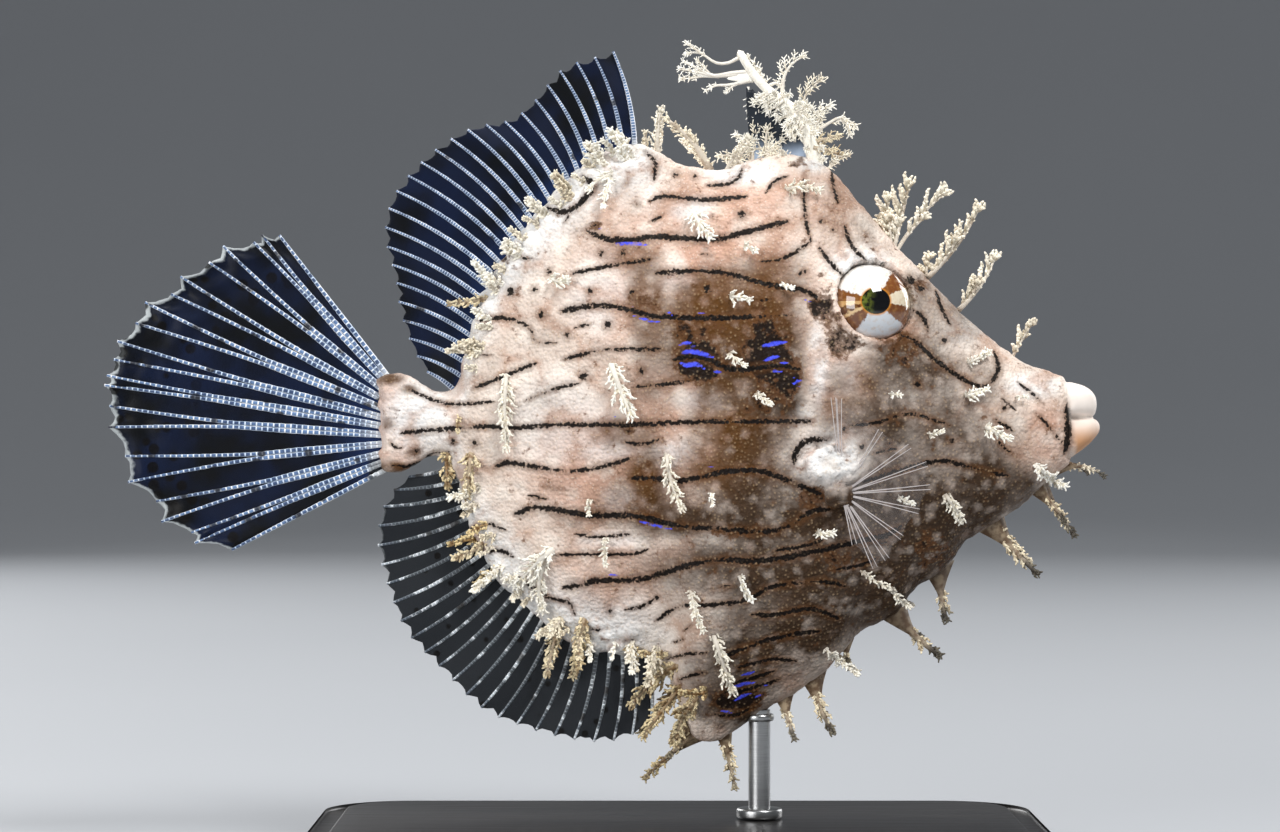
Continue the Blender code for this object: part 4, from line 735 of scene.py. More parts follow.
frayed = wire(tree, "MapRange", (fine, 0.0, 1.0, -0.6, 0.6))
blue_edge = wire(tree, "Math", (mark["blue_line"], frayed), **PLUS)
blue_share = wire(tree, "MapRange", (blue_edge, 1.0, 1.8, 0.92, 0.0))
lip_rise = wire(tree, "MapRange", (wire(tree, "SeparateXYZ", {0: place}, "Z"), 66.2, 70.6), **SOFT)
lip_colour = wire(tree, "MixRGB", (lip_rise, linear("C9976F"), linear("EFE4DA")))
# Coats of paint over the ground, in the order in which they are laid
colour = wire(tree, "MixRGB", (warmth, linear("E2D0C2"), linear("D6AC97")))
for share, paint in ((pale_share, linear("F2F3F2")), (pale_lit_crown, linear("FBF0E4")), (brown_shaded_valley, linear("B58C74")),
                     (tan_share, linear("B8927C")), (speck_share, linear("FFF7EC")),
                     (wash_share, wash_colour), (brown_fleck, linear("62462E")),
                     (brown_share, linear("5B3B22")), (black_share, linear("150D09")),
                     (halo, linear("5E3B1C")), (line_share, linear("0E0907")),
                     (grain_share, linear("CDB08A")), (blue_share, linear("4C58F0")),
                     (mark["lip"], lip_colour)):
    colour = wire(tree, "MixRGB", (share, colour, paint))
tree.links.new(colour, shader.inputs["Base Color"])
dry = wire(tree, "MapRange", (fine, 0.3, 0.7, 0.0, 0.16), **SOFT)
tree.links.new(wire(tree, "Math", (dry, 0.44), **PLUS), shader.inputs["Roughness"])
pebble = wire(tree, "Math", (grains, -0.6), **TIMES)
for bumps, height in ((small_grains, -0.35), (fine, 0.3)):
    pebble = wire(tree, "Math", (bumps, height, pebble), operation="MULTIPLY_ADD")
off_lips = wire(tree, "MapRange", (mark["lip"], 0.0, 1.0, 1.0, 0.0))
pebble = wire(tree, "Math", (pebble, off_lips), **TIMES)
tree.links.new(wire(tree, "Bump", {"Height": pebble, "Strength": 0.7, "Distance": 0.0004}, "Normal"),
               shader.inputs["Normal"])
fish_skin.data.materials.append(painted_skin)
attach(fish_skin, "root")
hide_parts("head", "torso", "tail_stalk", "pelvic_keel", "upper_lip", "lower_lip")

# Eyes: domes of clear cast resin over a painted iris, set into the sockets. The iris has a black
# pupil ringed with gold, a silver lower sector and brown wedges, as the photograph shows.
PUPIL_X, PUPIL_Z = 42.8, 88.5
# Painted iris under gloss: streaked, with a green sheen in the rear half of the pupil
eye_glass, tree, shader, place = finish_of("resin_eye", Roughness=0.04, IOR=1.5, Coat_Weight=1.0,
                                           Coat_Roughness=0.02)
streak = wire(tree, "TexNoise", {"Vector": place, "Scale": 1.3, "Detail": 3.0})
from_pupil = wire(tree, "VectorMath", (place, (PUPIL_X, 0.0, PUPIL_Z)), operation="SUBTRACT")
from_pupil = wire(tree, "VectorMath", {0: from_pupil, 1: (1.0, 0.0, 1.1)}, **TIMES)
pupil_far = wire(tree, "VectorMath", {0: from_pupil}, "Value", operation="LENGTH")
from_middle = wire(tree, "VectorMath", (place, (EYE_X, 0.0, EYE_Z)), operation="SUBTRACT")
from_middle = wire(tree, "VectorMath", {0: from_middle, 1: (1.0, 0.0, 1.0)}, **TIMES)
middle_far = wire(tree, "VectorMath", {0: from_middle}, "Value", operation="LENGTH")
across = wire(tree, "SeparateXYZ", {0: from_pupil}, "X")
upright = wire(tree, "SeparateXYZ", {0: from_pupil}, "Z")
angle = wire(tree, "Math", (upright, across), operation="ARCTAN2")
angle = wire(tree, "Math", (angle, wire(tree, "MapRange", (streak, 0.0, 1.0, -0.14, 0.14))), **PLUS)
turn = wire(tree, "MapRange", (angle, -math.pi, math.pi))
sectors = wire(tree, "ValToRGB", {"Fac": turn}, "Color")
ramp = sectors.node.color_ramp
# Wedges of the iris, as the angle from the front in degrees where each starts, and its colour; a
# wedge melts into the next over a few degrees
# The near-white wedge at the top, from 62 to 158 degrees, is partly the iris's own white and partly a
# painted highlight
IRIS = [(-180, "C9A06A"), (-170, "5B3317"), (-156, "D8B98A"), (-148, "6A3C1A"), (-120, "C9CDD2"),
        (-44, "6E3F1D"), (-10, "E6D9BE"), (26, "7A4620"), (62, "EDEBE6"), (158, "7B4A22")]
MELT = 1.4
stops = []
for i, (start, hex_colour) in enumerate(IRIS):
    end = IRIS[i + 1][0] if i + 1 < len(IRIS) else 180
    stops += [((start + MELT + 180) / 360, hex_colour), ((end - MELT + 180) / 360, hex_colour)]
for stop, hex_colour in stops[1:-1]:
    ramp.elements.new(stop).color = linear(hex_colour)
ramp.elements[0].color = linear(stops[0][1])
ramp.elements[-1].color = linear(stops[-1][1])
gold = wire(tree, "MapRange", (streak, 0.45, 0.75, 0.0, 0.35), **SOFT)
iris = wire(tree, "MixRGB", (gold, sectors, linear("B98A4A")))
ring = wire(tree, "MapRange", (pupil_far, 2.25, 2.65, 1.0, 0.0))
iris = wire(tree, "MixRGB", (ring, iris, linear("C9822B")))
sheen = wire(tree, "MapRange", (across, 0.4, -1.9, 0.0, 0.8), **SOFT)
sheen = wire(tree, "Math", (sheen, wire(tree, "MapRange", (streak, 0.35, 0.6), **SOFT)), **TIMES)
pupil = wire(tree, "MixRGB", (sheen, linear("050608"), linear("6F7A2E")))
iris = wire(tree, "MixRGB", (wire(tree, "MapRange", (pupil_far, 2.32, 2.18), **SOFT), iris, pupil))
rim_shade = wire(tree, "MapRange", (middle_far, 5.9, 6.2, 0.0, 0.6), **SOFT)
iris = wire(tree, "MixRGB", (rim_shade, iris, linear("7A6145")))
tree.links.new(iris, shader.inputs["Base Color"])
for side, name in ((-1, "eye_right"), (1, "eye_left")):
    bpy.ops.mesh.primitive_uv_sphere_add(segments=96, ring_count=48, radius=MM,
                                         location=eye_middle[side] * MM,
                                         scale=(EYE_RADIUS, EYE_RADIUS, EYE_DEPTH),
                                         rotation=eye_axis[side].to_track_quat("Z", "Y").to_euler())
    dome = bpy.context.object
    dome.name = name + "_dome"
    bpy.ops.object.transform_apply(location=True, rotation=True, scale=True)
    dome.data.shade_smooth()
    dome.data.materials.append(eye_glass)
    dome.select_set(False)
    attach(dome, "root")
    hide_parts(name)

# Skin tassels: soft branched outgrowths of the skin, each a stem with many short blunt twigs along
# both edges, like a sprig of coral, rooted in the skin. Each is (root, bend, tip, width, bare part)
# with (x, z) places read along the fish.
SNOUT_LOCKS = [
    ((46.3, 96.6), (47.6, 101.2), (48.9, 107.2), 4.6, 0.25),
    ((46.2, 96.8), (45.6, 100.6), (45.6, 105.0), 4.1, 0.35),
    ((46.0, 97.0), (45.2, 99.6), (44.6, 102.0), 3.0, 0.35),
    ((46.8, 96.6), (50.4, 102.8), (54.5, 105.9), 3.5, 0.45),
    ((51.9, 92.6), (57.2, 97.4), (59.9, 103.3), 4.6, 0.1),
    ((51.8, 92.8), (51.6, 94.2), (52.4, 95.9), 2.7, 0.1),
    ((56.9, 87.4), (61.2, 91.4), (62.7, 95.6), 4.3, 0.1),
    ((65.4, 79.6), (66.8, 82.4), (68.6, 85.2), 2.4, 0.15),
]
CHIN_LOCKS = [
    ((73.6, 62.4), (76.8, 63.4), (80.0, 61.0), 1.4, 0.2),
    ((69.8, 58.8), (72.6, 55.6), (75.0, 51.8), 2.4, 0.35),
    ((62.2, 53.0), (64.8, 49.8), (68.8, 45.8), 3.4, 0.1),
    ((53.4, 45.4), (53.9, 42.0), (54.8, 38.4), 3.1, 0.45),
    ((46.4, 39.2), (49.2, 35.4), (53.4, 32.4), 3.4, 0.4),
]
BELLY_LOCKS = [
    ((33.4, 28.4), (34.0, 24.6), (36.4, 20.4), 2.9, 0.1),
    ((28.8, 25.4), (29.2, 22.6), (30.4, 19.4), 2.4, 0.3),
    ((38.8, 33.4), (38.8, 31.6), (39.4, 30.4), 1.4, 0.4),
]
KEEL_LOCKS = [
    ((19.0, 20.4), (20.2, 15.8), (21.0, 11.4), 2.6, 0.15),
    ((14.8, 19.8), (10.8, 16.8), (7.0, 12.9), 2.4, 0.55),
    ((13.6, 20.6), (13.2, 18.6), (12.0, 18.8), 1.9, 0.1),
]
BACK_LOCKS = [
    ((8.8, 112.4), (8.4, 115.2), (9.2, 119.0), 2.8, 0.0),
    ((17.2, 109.8), (14.8, 114.6), (10.6, 117.6), 3.7, 0.0),
    ((19.8, 109.8), (21.2, 112.8), (22.9, 114.8), 2.1, 0.1),
    ((4.0, 113.4), (3.4, 114.8), (2.4, 115.6), 2.1, 0.0),
    ((6.6, 113.4), (7.0, 114.6), (6.8, 115.6), 1.6, 0.0),
]
HEAD_FLANK_LOCKS = [
    ((53.8, 58.4), (55.0, 56.6), (56.5, 54.3), 3.1, 0.0),
    ((46.2, 57.8), (47.4, 57.3), (48.4, 56.9), 1.6, 0.0),
    ((45.0, 44.2), (46.4, 41.8), (48.6, 40.3), 1.8, 0.1),
    ((40.2, 46.4), (42.4, 44.8), (45.0, 43.4), 1.7, 0.1),
    ((68.2, 63.2), (70.0, 61.0), (73.2, 59.6), 2.9, 0.0),
    ((57.4, 78.8), (59.4, 79.6), (61.0, 80.4), 2.3, 0.0),
    ((57.0, 73.6), (58.6, 74.0), (60.3, 74.6), 2.3, 0.0),
    ((60.0, 69.0), (62.0, 67.8), (63.6, 67.2), 2.9, 0.0),
    ((51.2, 67.4), (52.0, 67.8), (53.0, 68.0), 1.6, 0.0),
    ((65.4, 73.4), (66.0, 73.6), (66.8, 73.6), 1.0, 0.0),
    ((45.0, 73.8), (45.6, 74.0), (46.4, 73.8), 1.2, 0.0),
]
FLANK_LOCKS = [
    ((1.2, 79.0), (2.4, 75.6), (4.2, 71.2), 4.8, 0.0),
    ((10.0, 65.2), (10.2, 60.6), (12.2, 56.6), 3.5, 0.0),
    ((-15.2, 77.6), (-15.8, 72.0), (-15.3, 66.0), 3.5, 0.0),
    ((14.2, 103.4), (14.8, 101.2), (16.6, 99.2), 3.8, 0.0),
    ((28.8, 106.2), (31.2, 107.2), (33.8, 106.4), 2.8, 0.0),
    ((-7.6, 49.6), (-10.2, 47.8), (-13.4, 44.0), 5.0, 0.0),
    ((-8.8, 48.0), (-10.8, 44.4), (-9.8, 40.2), 4.2, 0.0),
    ((1.8, 109.0), (0.0, 108.8), (-1.9, 106.8), 2.8, 0.0),
    ((1.4, 108.6), (0.6, 107.2), (0.2, 104.2), 2.5, 0.0),
    ((21.4, 45.8), (21.8, 43.8), (23.2, 42.0), 2.2, 0.0),
    ((13.8, 43.4), (14.2, 40.4), (15.6, 37.2), 2.5, 0.0),
    ((17.2, 36.8), (18.8, 32.0), (20.4, 27.4), 3.8, 0.0),
    ((33.6, 52.4), (34.2, 51.8), (35.8, 52.2), 2.0, 0.0),
    ((35.0, 34.0), (37.0, 31.8), (40.2, 29.6), 2.1, 0.0),
    ((24.0, 74.2), (24.8, 73.4), (26.0, 72.6), 1.8, 0.0),
    ((0.4, 51.4), (0.2, 49.6), (0.4, 47.4), 1.8, 0.0),
    ((19.8, 89.2), (21.0, 89.4), (22.6, 88.8), 2.4, 0.0),
    ((22.2, 97.4), (23.2, 97.2), (24.0, 96.6), 1.6, 0.0),
    ((-8.6, 92.6), (-7.4, 91.4), (-6.0, 91.8), 2.8, 0.0),
    ((19.8, 80.6), (20.6, 79.4), (22.0, 78.6), 1.8, 0.0),
    ((17.2, 58.6), (17.0, 57.6), (17.2, 56.8), 1.1, 0.0),
    ((-2.0, 57.6), (-2.4, 56.4), (-2.2, 55.2), 1.2, 0.0),
    ((28.0, 91.4), (28.6, 90.8), (29.6, 90.6), 1.2, 0.0),
]
ROOT_LOCKS = [
    ((-21.0, 65.0), (-21.0, 61.8), (-21.6, 58.4), 3.9, 0.0),
    ((-24.6, 65.0), (-25.2, 62.8), (-24.8, 59.8), 3.0, 0.0),
    ((-2.8, 39.4), (-3.4, 35.0), (-4.6, 29.6), 3.2, 0.0),
    ((-6.8, 38.0), (-8.0, 34.2), (-8.8, 30.0), 3.2, 0.0),
    ((-19.6, 50.8), (-22.0, 50.8), (-24.0, 50.2), 2.1, 0.0),
    ((-16.0, 46.4), (-18.4, 45.6), (-19.6, 44.2), 2.8, 0.0),
    ((-18.0, 89.4), (-21.2, 88.6), (-24.0, 88.4), 2.1, 0.0),
    ((2.6, 34.0), (5.6, 32.2), (9.6, 32.6), 1.8, 0.0),
    ((-22.6, 70.6), (-23.2, 69.4), (-23.0, 68.2), 1.1, 0.0),
]
KEEL_SIDE_LOCKS = [
    ((12.8, 27.8), (10.2, 24.8), (6.8, 20.0), 3.4, 0.0),
    ((12.2, 31.0), (8.6, 29.6), (5.0, 25.0), 3.8, 0.0),
    ((15.4, 26.4), (12.6, 23.4), (11.6, 19.0), 4.0, 0.0),
    ((16.8, 27.0), (14.8, 26.4), (12.6, 26.6), 2.6, 0.0),
]
TWIG_SIDES = 5
TASSEL_SEED = 11
ROOT_DEPTH = 0.7
TUFT_PATCH = 0.003
# Finger radius, finger length, spacing of fingers on a frond, and spacing of fronds on a stem
KNOBS = (0.25, 0.46, 0.56, 1.05)
LOBES = (0.19, 0.46, 0.40, 0.82)
LEAFLETS = (0.17, 0.48, 0.60, 0.70)
BLADES = (0.2, 0.44, 0.50, 0.62)
NEEDLES = (0.10, 0.75, 0.34, 0.85)
VALUES = ("reach", "twig", "tone", "dusk", "local", "flesh")
LEFTWARD = Vector((0, 1, 0))


def unwrap(x, z, side):
    """Place of a root on the skin laid flat: along the fish, and round it from belly to back."""
    heights = np.linspace(float(belly(x)), float(min(max(z, belly(x) + 0.1), back(x))), 24)
    halves = flank(np.full(24, float(x)), heights)
    girth = float(np.sum(np.hypot(np.diff(heights), np.diff(halves))))
    across = 0.02 + (x - TAIL_END) / (LIP_PLANE - TAIL_END) * 0.94
    return across, 0.5 + side * (0.02 + min(girth, 100.0) / 100.0 * 0.44)


def look_at(x, z, side, tone, dusk):
    """What all parts of one tuft share: its tone, its dusk, the skin's wash at its root, its patch."""
    local = float(blotches(WASH, np.array([[x, z]]))[0])
    return min(1.0, max(0.0, tone)), dusk, local, unwrap(x, z, side)


def new_form(*names):
    """Empty lists for a form's points and faces, and for the values that each point carries."""
    return {name: [] for name in ("points", "faces", *names)}


def limb(coat, points, radii, facing, flat, reach, twig, look, flesh=0.0, sides=TWIG_SIDES):
    """One closed, rounded stem or twig along points, with the values that its colour follows."""
    first, last = len(coat["points"]), len(points) - 1
    for i, (point, radius) in enumerate(zip(points, radii)):
        run = (points[min(i + 1, last)] - points[max(i - 1, 0)]).normalized()
        across = run.cross(facing).normalized()
        deep = run.cross(across)
        for k in range(sides):
            a = 2 * math.pi * k / sides
            ring_place = across * math.cos(a) + deep * math.sin(a) * flat
            coat["points"].append(point + ring_place * radius)
    coat["points"].append(points[-1] + (points[-1] - points[-2]).normalized() * radii[-1] * 0.9)
    tip = len(coat["points"]) - 1
    coat["faces"] += ring_faces(first, last + 1, sides)
    top = first + last * sides
    for k in range(sides):
        coat["faces"].append((top + k, top + (k + 1) % sides, tip))
    coat["faces"].append([first + k for k in range(sides - 1, -1, -1)])
    tone, dusk, local, patch = look
    for i in range(last + 2):
        part = min(i / last, 1.0)
        count = sides if i <= last else 1
        at = reach[0] + (reach[1] - reach[0]) * part
        values = (at, twig[0] + (twig[1] - twig[0]) * part, tone, dusk, local, flesh * (1 - part) ** 0.5)
        for name, value in zip(VALUES, values):
            coat[name] += [value] * count
        spot = (patch[0] + TUFT_PATCH * (at - 0.5), patch[1] + TUFT_PATCH * (0.6 * values[1] - 0.3))
        coat["patch"] += [spot] * count


def side_branch(coat, spot, heading, swing, length, form, facing, part, look, chance):
    """A flat frond that bends towards the tip, with fingers along both edges and at its end."""
    fat, finger_length, spacing, _ = form
    fat *= chance.uniform(0.9, 1.12)
    bent = (heading + swing * 0.5).normalized()
    middle = spot + heading * length * 0.45
    end = middle + bent * length * 0.5
    limb(coat, [spot, middle, end], [fat * 1.4, fat * 1.25, fat * 0.9], facing, 0.6,
         (part, part), (0.15, 0.8), look, sides=4)
    way = bent.cross(facing).normalized()
    forks = max(2, round(length / spacing))
    edge = chance.choice((-1, 1))
    for i in range(forks):
        t = (i + chance.uniform(0.6, 1.0)) / forks
        edge = -edge
        base = spot.lerp(middle, t * 2) if t < 0.5 else middle.lerp(end, t * 2 - 1)
        spread = edge * chance.uniform(0.7, 1.2) * (1.15 - 0.6 * t)
        finger = (bent + way * spread + facing * chance.uniform(-0.4, 0.4)).normalized()
        size = finger_length * chance.uniform(0.75, 1.2) * min(1.0, 0.5 + 0.4 * length)
        limb(coat, [base, base + finger * size], [fat, fat * 0.7], facing, 0.8,
             (part, part), (0.45, 1.0), look, sides=5 if fat > 0.12 else 4)


def sprig(coat, path, width, bare, facing, stem, look, chance, skirt=0.0, lean=0.0, form=LEAFLETS):
    """One tassel: a tapering stem along path, fronds along both edges, and a small fan at its tip.

    A skirt is the half width of a fleshy root, and a lean thins the fronds on one edge."""
    last = len(path) - 1
    lengths = [(b - a).length for a, b in zip(path, path[1:])]
    whole = sum(lengths)
    radii = [max(stem * (1 - 0.6 * (i / last) ** 0.8), skirt * max(0.0, 1 - 1.3 * i / last) ** 1.5)
             for i in range(last + 1)]
    limb(coat, path, radii, facing, 0.42 if skirt else 0.6, (0.0, 1.0), (0.0, 0.1), look,
         flesh=1.0 if skirt else 0.0)
    count = max(3, int(whole * (1 - bare) / form[3]))
    for i in range(count):
        part = bare + (1 - bare) * (i + 0.5) / count
        want, here = part * whole, 0
        while here < last - 1 and want > lengths[here]:
            want -= lengths[here]
            here += 1
        spot = path[here].lerp(path[here + 1], min(1.0, want / lengths[here]))
        run = (path[here + 1] - path[here]).normalized()
        across = run.cross(facing).normalized()
        rise = math.sin(math.pi * (0.14 + 0.78 * (part - bare) / (1 - bare))) ** 0.6
        for edge in (1, -1):
            thin = 1 - max(0.0, -lean * edge)
            if chance.random() < 0.05 + 0.5 * (1 - thin):
                continue
            length = width / 2 * rise * chance.uniform(0.55, 1.35) * thin
            length *= 1 + 0.7 * max(0.0, lean * edge)
            tilt = math.radians(chance.uniform(34, 70) - 14 * part)
            heading = (run * math.cos(tilt) + across * edge * math.sin(tilt)
                       + facing * chance.uniform(-0.45, 0.45)).normalized()
            side_branch(coat, spot, heading, run, length, form, facing, part, look, chance)
    run = (path[-1] - path[-2]).normalized()
    for turn in (-0.7, 0.0, 0.7):
        heading = (run + run.cross(facing).normalized() * turn).normalized()
        side_branch(coat, path[-1], heading, run, width * 0.34, form, facing, 1.0, look, chance)


def curve_path(root, bend, tip, height, steps):
    """Points of a tassel: a curve from root by bend to tip, at a height given for each point."""
    path = []
    for i in range(steps + 1):
        t = i / steps
        x = root[0] * (1 - t) ** 2 + 2 * bend[0] * t * (1 - t) + tip[0] * t * t
        z = root[1] * (1 - t) ** 2 + 2 * bend[1] * t * (1 - t) + tip[1] * t * t
        path.append(Vector((x, height(x, z, t), z)))
    return path


def profile_sprigs(coat, table, tone, dusk, foot, chance, skirt=0.0, lean=0.0, form=LEAFLETS):
    """Tassels on the midline of the body, each with a shorter twin just beside it."""
    for root, bend, tip, width, bare in table:
        for twin in (0, 1):
            sway = chance.uniform(-1.4, 1.4)
            short = 1.0 if not twin else chance.uniform(0.45, 0.7)
            end = [r + (t - r) * short for r, t in zip(root, tip)]
            knee = [r + (b - r) * short for r, b in zip(root, bend)]
            off = 0.0 if not twin else chance.choice((-0.9, 0.9))
            if skirt:
                inward = (Vector(root) - Vector(knee)).normalized() * 1.6
                start = (root[0] + inward.x, root[1] + inward.y)
            else:
                start = root
            path = curve_path(start, knee, end, lambda x, z, t: off + sway * t, 14)
            look = look_at(*root, 1, tone + chance.uniform(-0.15, 0.15), dusk)
            sprig(coat, path, width * (1 if not twin else 0.8), bare, LEFTWARD, width * foot, look,
                  chance, skirt=skirt * width * (1 if not twin else 0.7), lean=lean, form=form)


def side_sprigs(coat, table, tone, dusk, foot, clear, chance, form=LEAFLETS):
    """Tassels on both flanks, which lift off the skin; the left ones differ a little."""
    for side in (-1, 1):
        for root, bend, tip, width, bare in table:
            slide = 0.0 if side < 0 else chance.uniform(-0.9, 0.9)
            spots = [(x + slide, z) for x, z in (root, bend, tip)]
            stand = chance.uniform(0.7, 1.1)

            def height(x, z, t):
                lifted = min(1.0, t / 0.25)
                off = flank(x, z) - ROOT_DEPTH + lifted * (ROOT_DEPTH + stand + 0.5 * t)
                return side * max(off, clear * lifted)

            path = curve_path(*spots, height, 12)
            look = look_at(*spots[0], side, tone + chance.uniform(-0.15, 0.15), dusk)
            sprig(coat, path, width, bare, Vector((0, side, 0)), width * foot, look, chance, form=form)


def made_piece(name, form, names, finish, slot, *nodes):
    """One object of a form in millimetres with its named values, and its normals made consistent."""
    piece = mesh_object(name, [point * MM for point in form["points"]], form["faces"])
    mesh = piece.data
    for key in names:
        point_values(mesh, key, form[key])
    bm = bmesh.new()
    bm.from_mesh(mesh)
    bmesh.ops.recalc_face_normals(bm, faces=bm.faces)
    bm.to_mesh(mesh)
    bm.free()
    mesh.shade_smooth()
    mesh.materials.append(finish)
    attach(piece, "root")
    if nodes:
        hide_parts(*nodes)
    return mesh


def grown(name, coat, *nodes):
    """Turn a coat of tassels into one object, with the patch of each tuft in its bake map."""
    mesh = made_piece(name, coat, VALUES, tassel_skin, "tassel_skin", *nodes)
    corner = np.empty(len(mesh.loops), int)
    mesh.loops.foreach_get("vertex_index", corner)
    layer = mesh.uv_layers.new(name="OFBake")
    layer.data.foreach_set("uv", np.array(coat["patch"], np.float32)[corner].ravel())


# Painted soft skin: matt, cream at the twigs' ends and brown in the stems, a painted shade where the
# twigs crowd together, with the mottled brown of the body run out onto the fleshy roots
tassel_skin, tree, shader, place = finish_of("tassel_skin", Roughness=0.5, IOR=1.42)
hold = {name: wire(tree, "Attribute", {}, "Fac", attribute_name=name) for name in VALUES}
dapple = wire(tree, "TexNoise", {"Vector": place, "Scale": 0.9, "Detail": 3.0})
cream = wire(tree, "MixRGB", (hold["tone"], linear("FFFCF2"), linear("EDD49A")))
stem_colour = wire(tree, "MixRGB", (hold["tone"], linear("EAE4D8"), linear("8F6C30")))
shade = wire(tree, "MixRGB", (hold["tone"], linear("DCD2BA"), linear("46300F")))
uneven = wire(tree, "MapRange", (dapple, 0.0, 1.0, -0.25, 0.25))
frond = wire(tree, "Math", (hold["twig"], uneven), **PLUS)
# Brown towards the stems is painted shade, where the twigs crowd together
painted_frond_shade = wire(tree, "MapRange", (frond, 0.08, 0.26), **SOFT)
cream_end = wire(tree, "MapRange", (frond, 0.26, 0.66), **SOFT)
stained = wire(tree, "Math", (hold["tone"], 0.85, 0.06), operation="MULTIPLY_ADD")
stained = wire(tree, "Math", (wire(tree, "MapRange", (dapple, 0.50, 0.62), **SOFT), stained), **TIMES)
flesh_dapple = wire(tree, "MapRange", (dapple, 0.35, 0.62), **SOFT)
flesh_colour = wire(tree, "MixRGB", (flesh_dapple, linear("B09A7C"), linear("6A5038")))
washed = wire(tree, "Math", (hold["local"], 0.8), **TIMES)
flesh_colour = wire(tree, "MixRGB", (washed, flesh_colour, linear("40332A")))
root_share = wire(tree, "MapRange", (hold["reach"], 0.40, 0.0, 0.0, 0.75), **SOFT)
root_share = wire(tree, "Math", (root_share, hold["local"]), **TIMES)
flesh_share = wire(tree, "MapRange", (hold["flesh"], 0.35, 0.85, 0.0, 0.95), **SOFT)
dark_tip = wire(tree, "Math", (dapple, 0.3, hold["reach"]), operation="MULTIPLY_ADD")
dark_tip = wire(tree, "MapRange", (dark_tip, 0.80, 1.08), **SOFT)
dark_tip = wire(tree, "Math", (hold["dusk"], dark_tip), **TIMES)
colour = stem_colour
for share, paint in ((painted_frond_shade, shade), (cream_end, cream), (stained, linear("6E4A1B")),
                     (root_share, linear("573715")), (flesh_share, flesh_colour),
                     (dark_tip, linear("0F0C0B"))):
    colour = wire(tree, "MixRGB", (share, colour, paint))
tree.links.new(colour, shader.inputs["Base Color"])
tree.links.new(wire(tree, "Bump", {"Height": dapple, "Strength": 0.35, "Distance": 0.0002}, "Normal"),
               shader.inputs["Normal"])

chance = random.Random(TASSEL_SEED)
head_coat = new_form("patch", *VALUES)
profile_sprigs(head_coat, SNOUT_LOCKS, 0.34, 0.0, 0.11, chance, lean=0.94, form=KNOBS)
profile_sprigs(head_coat, CHIN_LOCKS, 0.5, 0.9, 0.27, chance, skirt=1.0, form=LOBES)
side_sprigs(head_coat, HEAD_FLANK_LOCKS, 0.05, 0.0, 0.14, 0.0, chance)
body_coat = new_form("patch", *VALUES)
profile_sprigs(body_coat, BELLY_LOCKS, 0.5, 0.8, 0.27, chance, skirt=1.0, form=LOBES)
profile_sprigs(body_coat, BACK_LOCKS, 0.25, 0.0, 0.2, chance)
profile_sprigs(body_coat, KEEL_LOCKS, 0.75, 0.5, 0.24, chance, skirt=0.9, form=LOBES)
side_sprigs(body_coat, FLANK_LOCKS, 0.08, 0.0, 0.14, 0.0, chance)
side_sprigs(body_coat, ROOT_LOCKS, 0.8, 0.2, 0.16, 2.0, chance, form=BLADES)
side_sprigs(body_coat, KEEL_SIDE_LOCKS, 0.8, 0.2, 0.16, 2.2, chance, form=BLADES)
# Frilled tufts along the roots of the soft fins, on both sides: a few small ones anywhere, and full
# clusters at the places where the photograph shows them, each as (x, z, tone)
DORSAL_CLUSTERS = [(2.8, 113.8, 0.0), (-1.0, 112.2, 0.1), (-7.2, 107.4, 0.45), (-10.2, 104.0, 0.2),
                   (-15.4, 97.6, 0.0), (-18.6, 92.0, 0.0), (-21.6, 83.2, 0.2), (-22.2, 79.4, 0.4)]
ANAL_CLUSTERS = [(-22.4, 58.6, 0.1), (-21.6, 50.6, 0.75), (-17.4, 45.6, 0.0), (-8.2, 36.6, 0.35),
                 (-3.6, 34.4, 0.65), (4.4, 32.6, 0.15), (8.4, 31.6, 0.3)]
TUFT_STRETCHES = [(back, 1, 6.0, -23.0, 15, DORSAL_CLUSTERS), (belly, -1, 9.0, -22.6, 13, ANAL_CLUSTERS)]
TRAIL_PLACES = 400
root_coat = new_form("patch", *VALUES)


def root_tuft(x, z, out, length, width, tone, side, chance):
    """A short tuft beside a fin's root, from within the body's edge outwards over the fin."""
    root = Vector((x, 0, z)) - out * chance.uniform(1.4, 3.6)
    tip = root + out * (length + 1.6)
    tip.x += chance.uniform(-0.4, 0.4) * length
    tip.z += chance.uniform(-0.4, 0.4) * length
    knee = root.lerp(tip, 0.5) + Vector((chance.uniform(-0.6, 0.6), 0, chance.uniform(-0.6, 0.6)))
    depth = float(flank(root.x, root.z))
    path = [root.lerp(knee, t / 3) if t < 3 else knee.lerp(tip, (t - 3) / 3) for t in range(7)]
    for t, point in enumerate(path):
        point.y = side * max(depth - 0.6 + 0.25 * t, 1.4 * min(1.0, t / 2))
    look = look_at(root.x, root.z, side, tone, 0.0)
    sprig(root_coat, path, width, 0.05, Vector((0, side, 0)), 0.3, look, chance, form=BLADES)


def distance_along(xs, zs):
    """How far each place of a trail lies from its first one."""
    return np.concatenate(([0], np.cumsum(np.hypot(np.diff(xs), np.diff(zs)))))


